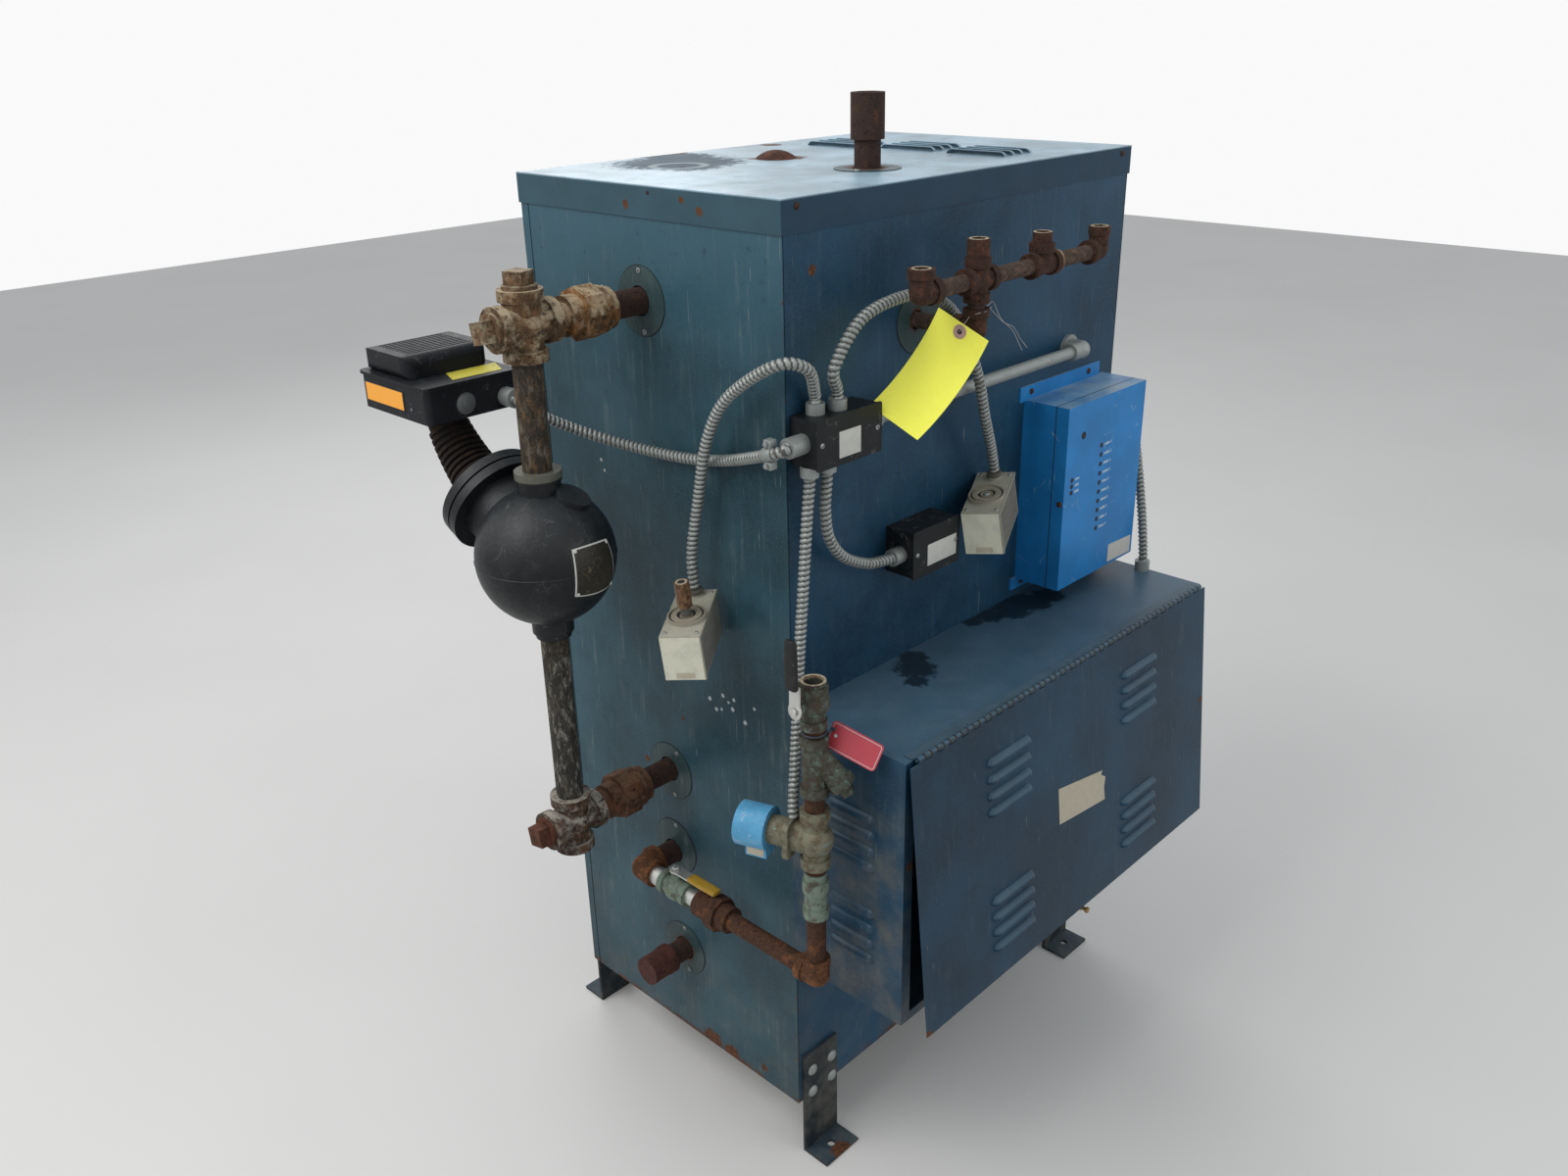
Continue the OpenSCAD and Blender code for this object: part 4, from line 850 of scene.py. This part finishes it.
class BOILER_OT_stage(bpy.types.Operator):
    """Sets up the floor, the soft light and the camera"""

    bl_idname = "boiler.stage"
    bl_label = "Stage"

    def execute(self, context):
        scene = context.scene
        camera = bpy.data.objects.new("camera", bpy.data.cameras.new("camera"))
        scene.collection.objects.link(camera)
        camera.data.sensor_width = 36
        camera.data.lens = CAMERA_LENS
        camera.matrix_world = (Matrix.Translation(CAMERA_PLACE) @ about("Z", -CAMERA_TURN)
                               @ about("X", 90 - CAMERA_DIP) @ about("Z", -CAMERA_ROLL))
        scene.camera = camera

        half = 9.0
        mesh = bpy.data.meshes.new("floor")
        mesh.from_pydata([(-half, -half, 0), (half, -half, 0), (half, half, 0), (-half, half, 0)], [],
                         [(0, 1, 2, 3)])
        look = Look("floor_grey")
        look.base = look.mix(look.noise(700, 3.0, 0.5), (0.60, 0.595, 0.58), (0.66, 0.655, 0.64))
        mesh.materials.append(look.finish(0.85))
        floor = bpy.data.objects.new("floor", mesh)
        scene.collection.objects.link(floor)

        for name, spot, size, power, colour in (
            ("key", (-2.6, 0.6, 3.6), 2.6, 92.0, (1.0, 0.985, 0.96)),
            ("fill", (1.2, -3.6, 2.4), 2.6, 26.0, (0.95, 0.98, 1.0)),
            ("back", (1.6, 3.4, 3.2), 2.4, 40.0, (1.0, 1.0, 1.0)),
        ):
            light = bpy.data.lights.new(name, "AREA")
            light.size = size
            light.energy = power
            light.color = colour
            lamp = bpy.data.objects.new(name, light)
            lamp.location = spot
            aim = Vector((0, 0, 0.8)) - Vector(spot)
            lamp.rotation_euler = aim.to_track_quat("-Z", "Y").to_euler()
            scene.collection.objects.link(lamp)

        # The sky lights softly, and looks white to the camera, in reflections and through glass
        world = bpy.data.worlds.new("studio")
        scene.world = world
        world.use_nodes = True
        tree = world.node_tree
        tree.nodes.clear()
        either = {"operation": "MAXIMUM"}
        rays = add_node(tree, "ShaderNodeLightPath")
        seen = add_node(tree, "ShaderNodeMath", either, {0: rays["Is Camera Ray"], 1: rays["Is Glossy Ray"]})
        seen = add_node(tree, "ShaderNodeMath", either, {0: seen[0], 1: rays["Is Transmission Ray"]})
        soft, white = (add_node(tree, "ShaderNodeBackground", None, {"Color": colour, "Strength": strength})
                       for colour, strength in (((0.93, 0.96, 1.0, 1), 0.62), ((1, 1, 1, 1), 0.95)))
        sky = add_node(tree, "ShaderNodeMixShader", None, {0: seen[0], 1: soft[0], 2: white[0]})
        add_node(tree, "ShaderNodeOutputWorld", None, {"Surface": sky[0]})
        scene.view_settings.view_transform = "Standard"
        return {"FINISHED"}


class BOILER_OT_conduits(bpy.types.Operator):
    """Makes the spiral conduits along their routes"""

    bl_idname = "boiler.conduits"
    bl_label = "Spiral conduits"

    def execute(self, context):
        sizes = context.scene.boiler_sizes
        outer, pitch = sizes.flex_d / MM / 2, sizes.flex_pitch / MM
        steps_per_turn, sides, groove = 6, 14, 2.5
        for node, (points, first, last) in ROUTES.items():
            line, length = smooth_line(points, pitch / steps_per_turn)
            ways = directions(line)
            ways[0], ways[-1] = Vector(first).normalized(), Vector(last).normalized()
            step = length / (len(line) - 1)

            def depth(i, part):
                """From 0 on a ridge to 1 in the groove, at a step and a part of the way round."""
                return abs(2 * ((i * step / pitch - part) % 1.0) - 1)

            def ridged(i, angle):
                return outer - groove * depth(i, angle / (2 * math.pi)) ** 1.5

            form = Form()
            form.swept(line, ways, ridged, sides)
            # The bottom of the groove, dark with dirt and painted shade
            for k, face in enumerate(form.bm.faces):
                face.material_index = int(depth(k // sides + 0.5, (k % sides + 0.5) / sides) > 0.66)
            piece = form.finish(node + "_spiral", "spiral_zinc", "groove_dirt_and_shade", slot="flex", smooth=60)
            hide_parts(node)
            path = [tuple(p * MM) for p in line[::4]] + [tuple(line[-1] * MM)]
            length * MM
        return {"FINISHED"}


class BOILER_OT_finishes(bpy.types.Operator):
    """Gives every CAD piece its finish and rounds its edges a little"""

    bl_idname = "boiler.finishes"
    bl_label = "Finishes"

    def execute(self, context):
        edge = context.scene.boiler_sizes.edge_round
        for name, piece in NODES.items():
            piece.data.materials.clear()
            piece.data.materials.append(look_named(NODE_LOOKS[name]))
            if name in SHEET_METAL or name in CAST:
                rounding = piece.modifiers.new("edges", "BEVEL")
                rounding.width = edge if name in SHEET_METAL else edge * 1.8
                rounding.segments = 2
                rounding.limit_method = "ANGLE"
                rounding.angle_limit = math.radians(40)
                rounding.harden_normals = False
        return {"FINISHED"}


class BOILER_OT_fasteners(bpy.types.Operator):
    """Puts in the screws and bolts of the sheet metal"""

    bl_idname = "boiler.fasteners"
    bl_label = "Screws and bolts"

    def execute(self, context):
        sizes = context.scene.boiler_sizes
        d, bolt = sizes.screw_d / MM, sizes.bolt_d / MM
        low, high = span("lid")
        form = Form()
        for x in (-357, 357):
            slotted_screw(form, place(x, low.y, high.z - 17, FRONT, 20 * x), d)
            slotted_screw(form, place(x, high.y, high.z - 17, BACK, 30 * x), d)
        form.revolve([(2.6, -0.3), (2.4, 0.5), (1.4, 0.9), (0, 1.0)], place(low.x, -23, 1456, LEFT), 12)
        form.finish("skirt_screws", "rusty_pipe", "dark_recess")

        # Hollow rivets, and dark rings of painted shadow round the edges of the plates on the narrow side
        form = Form()
        wall = span("narrow_panels")[0].x
        for y, z, *turns in WALL_PLATES:
            for turn in turns:
                across, up = polar(40, turn)
                where = place(wall - 1.2, y + across, z + up, LEFT, turn)
                form.revolve([(3.6, -0.3), (3.4, 1.2), (1.7, 1.5), (1.6, 1.0)], where, 14)
                form.revolve([(1.7, 1.1), (0, 1.1)], where, 10, 1)
            form.revolve([(46.3, 0.1), (47.4, 0.15), (47.5, -0.3)], place(wall, y, z, LEFT), 48, 1)
        form.revolve([(3.2, -0.3), (2.4, 1.2), (0, 1.5)], place(wall, 86, 1326, LEFT), 12)
        # Screws of the plates at the header and at the steam outlet, and a ring of painted shadow round the
        # header's plate
        wall = span("front_panel")[0].y
        x, z = -127, 1283
        for turn in (115, 295):
            across, up = polar(35, turn)
            slotted_screw(form, place(x + across, wall - 1.2, z + up, FRONT, turn), 7)
        form.revolve([(42.2, 0.1), (43.2, 0.15), (43.3, -0.3)], place(x, wall, z, FRONT), 48, 1)
        for turn in (200, 20):
            across, along = polar(39, turn)
            slotted_screw(form, place(-84 + across, -129 + along, 1466.2, turn=turn), 7)
        form.finish("plate_screws", "dull_zinc", "dark_recess")

        form = Form()
        low, high = span("feet")
        head = [(0.5, -0.3), (0.5, 1.0), (0.44, 2.6), (0.3, 4.2), (0.14, 5.0), (0, 5.2)]
        head = [(share * bolt, height) for share, height in head]
        for side in (-1, 1):
            for y, way in ((low.y + 45, FRONT), (high.y - 45, BACK)):
                for x, z in ((355, 158), (311, 156), (311, 116), (355, 115)):
                    form.revolve(head, place(side * x, y, z, way), 20)
        form.finish("foot_bolts", "dull_zinc")
        return {"FINISHED"}


class BOILER_OT_float_control(bpy.types.Operator):
    """Adds the bare plates, the flange bolts and the knock-out of the float control"""

    bl_idname = "boiler.float_control"
    bl_label = "Float control"

    def execute(self, context):
        # Bare name plate, bent round the chamber, with a raised rim and four rivets
        corners = ((-586, -76, 1049), (-526, -70, 1045), (-589, -78, 986), (-519, -63, 977))
        top_left, top_right, low_left, low_right = (Vector(p) for p in corners)

        def on_ball(u, v, lift):
            flat = top_left.lerp(top_right, u).lerp(low_left.lerp(low_right, u), v)
            return CHAMBER + (flat - CHAMBER).normalized() * (CHAMBER_RADIUS + lift)

        form = Form()
        count = 30
        sheet = {}
        for i in range(count + 1):
            for j in range(count + 1):
                rim = min(i, j, count - i, count - j) == 0
                sheet[i, j] = form.bm.verts.new(on_ball(i / count, j / count, 0.6 if rim else 1.0))
        for i in range(count):
            for j in range(count):
                face = form.bm.faces.new((sheet[i, j], sheet[i + 1, j], sheet[i + 1, j + 1], sheet[i, j + 1]))
                face.material_index = int(i in (0, count - 1) or j in (0, count - 1))
        rivet = [(2.4, 0), (2.0, 1.0), (0.8, 1.4), (0, 1.4)]
        for u in (0.07, 0.93):
            for v in (0.06, 0.94):
                spot = on_ball(u, v, 1.0)
                form.revolve(rivet, place(*spot, spot - CHAMBER), 10, 1)
        form.finish("chamber_plate", "worn_etched_plate", "pale_label")

        # Round boss cast on top, and the seam between the two cast halves, which stays inside the widest line
        form = Form()
        spot = CHAMBER + (Vector((-521, -1, 1094)) - CHAMBER).normalized() * CHAMBER_RADIUS
        boss = [(24, -7), (23, 0.5), (21.5, 1.6), (14, 2.2), (0, 2.3)]
        form.revolve(boss, place(*spot, spot - CHAMBER), 36)
        ring = []
        for turn in range(-125, 126, 5):
            ahead, aside = polar(1, turn)
            reach = min(CHAMBER_RADIUS, (CHAMBER_RADIUS - 0.96) / max(abs(aside), 0.1))
            ring.append(CHAMBER + reach * Vector((aside, -ahead, 0)))
        form.tube(ring, 0.9, 6)
        form.finish("chamber_casting", "black_casting")

        # Bolts round the sloping flange
        form = Form()
        side, axis = Vector((1, 0, 0)), Vector((0, *polar(1, 27.5)))
        up = axis.cross(side)
        for k in range(8):
            across, along = polar(60, 22.5 + 45 * k)
            spot = CHAMBER + axis * 131 + across * side + along * up
            hex_head(form, place(*spot, axis, 17 * k), 12, 5)
        form.finish("flange_bolts", "black_casting")

        low, _ = span("head_base")
        form = Form()
        knockout = place(low.x + 58, low.y - 0.1, 1199, FRONT)
        form.revolve([(14.5, 0), (13, 0), (12.5, 1.4), (11.5, 1.9), (0, 1.9)], knockout, 28)
        form.revolve([(4.0, 1.8), (3.6, 2.5), (0, 2.6)], knockout, 28)
        form.revolve([(2.2, 0), (1.9, 0.8), (0, 1.0)], place(low.x, 172, 1196, LEFT), 10)
        form.finish("head_knockout", "dark_zinc")

        form = Form()
        form.block((low.x - 0.7, 188, 1190), (low.x + 0.1, 284, 1217), bevel=0.2)
        form.block((low.x - 0.8, 190, 1191.5), (low.x - 0.6, 282, 1215.5), slot=1)
        form.finish("head_label_side", "dark_recess", "orange_label")

        form = Form()
        form.prism([(-591, 144), (-516, 142), (-500, 181), (-577, 182)], 1230.0, 1230.5)
        form.finish("head_label_top", "yellow_strip")
        return {"FINISHED"}


class BOILER_OT_levers(bpy.types.Operator):
    """Makes the two ball valve levers with their dipped grips, and the coil's label"""

    bl_idname = "boiler.levers"
    bl_label = "Valve levers"

    def execute(self, context):
        valve_lever("feed", "yellow_grip", turned((-442, -66, 481.4), (0, 0, -90)), 6.2, 90, 54, 19, 0.5)
        low, _ = span("solenoid_coil")
        form = Form()
        coil = turned((RISER_X, RISER_Y, low.z + 36), (-90, 0, 19.6))
        form.block((-19.5, 9, 66), (-18.9, 34, 90.5), coil, 0.15)
        form.finish("coil_label", "cream_label")
        valve_lever("inlet", "black_grip", turned((-472.4, -353, 875), (0, -90, 0)), 6.8, 99, 63, 20, 4.6)
        return {"FINISHED"}


class BOILER_OT_controls(bpy.types.Operator):
    """Adds rims, screws and labels to the two pressure controls and the junction boxes"""

    bl_idname = "boiler.controls"
    bl_label = "Controls and junction boxes"

    def execute(self, context):
        for name, (spot, turns) in CONTROLS.items():
            where = turned(spot, turns)
            middle = where @ Matrix.Translation((0, -12, 0))
            form = Form()
            # Dished disc with its rings, and the dark gaps between them
            for profile, slot in (
                ([(0, 36.4), (7, 36.4), (8.2, 37.2), (9, 37.0)], 0),
                ([(9, 36.2), (12.5, 36.2)], 2),
                ([(12.4, 36.1), (13, 38.2), (20, 38.4), (21, 36.6)], 0),
                ([(20.9, 36.3), (23.2, 36.3)], 2),
                ([(23.1, 36.2), (23.6, 38.0), (26, 38.0), (26.5, 35.6)], 0),
            ):
                form.revolve(profile, middle, 32, slot)
            if name == "right_control":
                slotted_screw(form, middle @ Matrix.Translation((0, 0, 36.8)), 10, 1)
            else:
                bore = middle @ Matrix.Translation((0, 0, 86))
                form.revolve([(8.2, -0.2), (7.6, 0.4), (5.4, 0.4), (5.2, 0.1)], bore, 20, 3)
                form.revolve([(5.3, 0.12), (0, 0.12)], bore, 20, 2)
            for x in (-21, 21):
                for y in (-52, 53):
                    slotted_screw(form, where @ Matrix.Translation((x, y, 32.8)), 5, 1)
            form.finish(name + "_top", "brown_dish", "dull_zinc", "dark_recess", "worn_rim")
            form = Form()
            form.block((-12, -30, 61.3), (12, -22, 61.9), where @ about("X", 90), 0.1)
            form.finish(name + "_label", "cream_label")
            form = Form()
            for i in range(16):
                y = -50 + i * 6.8
                form.block((25.9, y, -30), (26.9, y + 2.2, 27), where, 0.3)
            form.finish(name + "_ribs", "grey_side")

        # Clamp round the head's conduit, with its two screws
        form = Form()
        sleeve = [(8, -9), (9.4, -9), (9.8, -7), (9.6, 7), (9.2, 8), (8, 8)]
        form.revolve(sleeve, place(-411.4, -256, 1168.6, (-0.02, 0.94, -0.33)), 24)
        for z in (1183, 1155):
            form.block((-417, -263, z - 5), (-405, -251, z + 5), bevel=1)
            hex_head(form, place(-417, -257, z, LEFT, 20), 7, 3)
        form.finish("conduit_clamp", "dull_zinc")

        labels = {"left": (-335, -295, 1154, 1188), "right": (-157, -93, 955, 986)}
        for name, (left, right, bottom, top) in labels.items():
            low, high = span("junction_box_" + name)
            form = Form()
            form.block((left, low.y - 0.5, bottom), (right, low.y + 0.1, top), bevel=0.15)
            form.finish("junction_label_" + name, "pale_label")
            form = Form()
            for x in (low.x + 9, high.x - 9):
                slotted_screw(form, place(x, low.y, (low.z + high.z) / 2, FRONT, 30 + x), 7)
            form.finish("junction_screws_" + name, "dull_zinc", "dark_recess")
        return {"FINISHED"}


class BOILER_OT_control_box(bpy.types.Operator):
    """Adds the lamps, the bare label and the screws of the blue control box"""

    bl_idname = "boiler.control_box"
    bl_label = "Control box"

    def execute(self, context):
        low, high = span("control_cover")
        front, seam = low.y, high.y
        # Lamps as x, z and the number of short marks beside them
        lamps = [(232 + 0.2 * i, 1042 - 15.2 * i, 5) for i in range(10)]
        lamps += [(154, 1005 - 10 * i, 4) for i in range(3)]
        form = Form()
        for x, z, _ in lamps:
            round_spot(form, 3.9, place(x, front, z, FRONT))
        round_spot(form, 6.0, place(178, front, 1070, FRONT))
        form.finish("lamp_holes", "dark_recess")

        form = Form()
        form.block((low.x - 0.12, seam - 0.7, low.z), (low.x + 0.1, seam + 0.7, high.z))
        form.block((high.x - 0.1, seam - 0.7, low.z), (high.x + 0.12, seam + 0.7, high.z))
        form.block((low.x, seam - 0.7, high.z - 0.1), (high.x, seam + 0.7, high.z + 0.12))
        form.finish("cover_seam", "dark_recess")

        form = Form()
        marks = random.Random(4)
        for x, z, count in lamps:
            at = x + 9
            for _ in range(count):
                wide = marks.uniform(1.4, 2.4)
                top = z + 2.2 * marks.uniform(0.5, 1)
                form.block((at, front - 0.2, z - 2.2), (at + wide, front + 0.1, top))
                at += wide + 1.1
            if count == 5:
                form.block((at + 3, front - 0.2, z - 2.2), (at + 4.5, front + 0.1, z + 2.2))
        form.finish("lamp_marks", "pale_lamp")

        form = Form()
        outline = [(277, 834), (346, 832), (346, 861), (277, 864)]
        form.prism(outline, 0, 0.5, turned((0, front, 0), (90, 0, 0)))
        form.finish("control_label", "pale_label")

        form = Form()
        slotted_screw(form, place(low.x, -327, 970, LEFT, 30), 9)
        slotted_screw(form, place(high.x, -327, 970, RIGHT, 60), 9)
        box_low, box_high = span("control_box")
        for x in (148, 306):
            for z in (box_high.z - 10, box_low.z + 9):
                slotted_screw(form, place(x, -257, z, FRONT, x), 9)
        form.finish("control_screws", "rusty_pipe", "dark_recess")
        return {"FINISHED"}


class BOILER_OT_lower_box(bpy.types.Operator):
    """Adds the torn bare label of the lower box's door and painted shade in the gaps of its hinge"""

    bl_idname = "boiler.lower_box"
    bl_label = "Lower box"

    def execute(self, context):
        ajar = 5.4
        form = Form()
        torn = [(-59, -238), (20, -247), (64, -252), (62, -231), (66, -214), (54, -206), (58, -200),
                (-60, -179)]
        form.prism(torn, 3.0, 3.4, turned((0, HINGE_Y, HINGE_Z), (90 - ajar, 0, 0)))
        form.finish("door_label", "cream_label", body=DOOR)

        # Painted shade in the gaps between the knuckles of the hinge
        low, high = span("door_hinge")
        start, end = low.x + 2, high.x - 1
        form = Form()
        for i in range(1, round((end - start) / KNUCKLE)):
            where = place(start + i * KNUCKLE - 0.25, HINGE_Y, HINGE_Z, RIGHT)
            form.revolve([(3.9, -1.8), (4.15, -1.7), (4.15, 1.7), (3.9, 1.8)], where, 14)
        form.finish("hinge_gap_shade", "dark_recess")
        return {"FINISHED"}


class BOILER_OT_tags(bpy.types.Operator):
    """Makes the bent yellow card, the red plate, their wires and the rims of the open fittings"""

    bl_idname = "boiler.tags"
    bl_label = "Tags"

    def execute(self, context):
        # Card, bent round an axis across it
        where = turned((-192.8, -333, 1234), (-29, 25.2, -82.4))
        bend, hole = 143, 66

        def on_card(across, along, lift=0.0):
            y, z = polar(bend + lift, math.degrees(along / bend))
            return where @ Vector((across, y - bend, z))

        form = Form()
        section = ((-39.6, -0.32), (39.6, -0.32), (39.6, 0.32), (-39.6, 0.32))
        form.loft([[on_card(across, along, lift) for across, lift in section] for along in range(-79, 80, 6)])
        card = form.finish("card", "yellow_card", slot="paper")
        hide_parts("paper_tag")

        form = Form()
        eyelet = place(*on_card(0, hole), on_card(0, hole, -1) - on_card(0, hole))
        form.revolve([(3.2, 0.5), (3.4, 1.1), (9.0, 0.9), (9.4, 0.3)], eyelet)
        form.revolve([(3.3, 0.55), (0, 0.5)], eyelet, 16, 1)
        form.finish("card_ring", "pink_ring", "dark_recess")

        # Worn rims of the header's open tops, and the crust on its pipe
        form = Form()
        rim = [(9.1, -3), (9.2, 0.3), (11.2, 0.7), (12.4, 0.3), (12.6, -0.2)]
        for x, z in ((-242, 1378), (-129, 1399), (12, 1390), (152, 1381)):
            form.revolve(rim, place(x, HEADER_Y, z))
        form.finish("header_rims", "worn_rim")
        form = Form()
        crust = [(11, -5), (14.4, -4), (15.6, -1), (15.2, 3), (13, 5.5), (11, 6)]
        form.revolve(crust, place(44, HEADER_Y, 1348, RIGHT), 28)
        form.finish("header_crust", "crusted_bronze")

        # Wire of the card round the header, and its two loose ends
        form = Form()
        start = on_card(0, hole, -1.2)
        for points, step, radius in (
            ([start, start + Vector((2, -3, 6)), (-146, -352, 1304), (-142, -361, 1309), (-129, -366.5, 1311),
              (-114, -358, 1311), (-112, -350, 1309)], 3, 0.55),
            ([(-112, -350, 1309), (-60, -322, 1304), (-25, -303, 1297), (-5, -302, 1272), (27, -300, 1250),
              (45, -299, 1229), (53, -300, 1217)], 5, 0.5),
            ([(-112, -350, 1309), (-66, -328, 1300), (-34, -304, 1291), (0, -302, 1267), (29, -300, 1254),
              (47, -299, 1236), (65, -300, 1219)], 5, 0.5),
        ):
            form.tube(smooth_line(points, step)[0], radius, 6)
        form.finish("card_wire", "thin_wire")

        # Red plate with a pale line near its edge and a hole
        tag = turned((-409, -391, 813), (-20.4, 15.1, -76.6))
        flat = tag @ about("X", 90)
        form = Form()
        for inset, low, high, slot in ((0.0, -0.8, 0.8, 0), (2.0, 0.8, 0.85, 1), (2.8, 0.85, 0.9, 0)):
            half_length, half_height, r = 37 - inset, 18.5 - inset, 5.5 - inset
            outline = []
            for side, end, first in ((1, 1, 0), (-1, 1, 90), (-1, -1, 180), (1, -1, 270)):
                for k in range(5):
                    x, y = polar(r, first + 22.5 * k)
                    outline.append((side * (half_length - r) + x, end * (half_height - r) + y))
            form.prism(outline, low, high, flat, slot)
        form.revolve([(2.4, 0), (2.3, 0.15), (0, 0.15)], flat @ Matrix.Translation((-27, 0.5, 0.9)), 16, 1)
        plate = form.finish("valve_plate", "red_plate", "pale_print", slot="red_tag")
        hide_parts("valve_tag")

        # Plastic tie round the riser, knotted at the plate's edge
        form = Form()
        ring = []
        for k in range(17):
            x, y = polar(15.4, 22.5 * k)
            ring.append(Vector((RISER_X + x, RISER_Y + y, 833)))
        form.tube(ring, 1.4, 8)
        knot = tag @ Vector((-32, -1.5, 7))
        tail, _ = smooth_line([(-432, -364, 833), (-427, -368, 832), knot + Vector((-2, 3, 2)), knot], 1.5)
        form.tube(tail, 1.3, 8)
        form.revolve([(0, -2.6), (1.8, -2), (2.6, 0), (1.8, 2), (0, 2.6)], place(*knot), 12)
        form.finish("tie", "blue_tie")

        # Rusty rim of the inlet valve's open top
        form = Form()
        rim = [(13.0, -4), (13.1, 0.2), (15.4, 0.5), (16.3, 0.2), (16.45, -0.3)]
        form.revolve(rim, place(RISER_X, RISER_Y, 906), 32)
        form.finish("inlet_rim", "worn_rim")
        return {"FINISHED"}


OPERATORS = (BOILER_OT_stage, BOILER_OT_conduits, BOILER_OT_finishes, BOILER_OT_fasteners,
             BOILER_OT_float_control, BOILER_OT_levers, BOILER_OT_controls, BOILER_OT_control_box,
             BOILER_OT_lower_box, BOILER_OT_tags)


class BOILER_PT_panel(bpy.types.Panel):
    """Lists the steps that dress the boiler"""

    bl_label = "Boiler"
    bl_idname = "BOILER_PT_panel"
    bl_space_type = "VIEW_3D"
    bl_region_type = "UI"
    bl_category = "Boiler"

    def draw(self, context):
        for operator in OPERATORS:
            self.layout.operator(operator.bl_idname)
        for group in (context.scene.boiler_finish, context.scene.boiler_sizes):
            for name in group.__annotations__:
                self.layout.prop(group, name)


CLASSES = (BoilerFinish, BoilerSizes, *OPERATORS, BOILER_PT_panel)


def register():
    for item in CLASSES:
        bpy.utils.register_class(item)
    bpy.types.Scene.boiler_finish = bpy.props.PointerProperty(type=BoilerFinish)
    bpy.types.Scene.boiler_sizes = bpy.props.PointerProperty(type=BoilerSizes)


def unregister():
    del bpy.types.Scene.boiler_sizes
    del bpy.types.Scene.boiler_finish
    for item in reversed(CLASSES):
        bpy.utils.unregister_class(item)


def main():
    register()
    for operator in OPERATORS:
        group, name = operator.bl_idname.split(".")
        getattr(getattr(bpy.ops, group), name)()


if __name__ == "__main__":
    main()
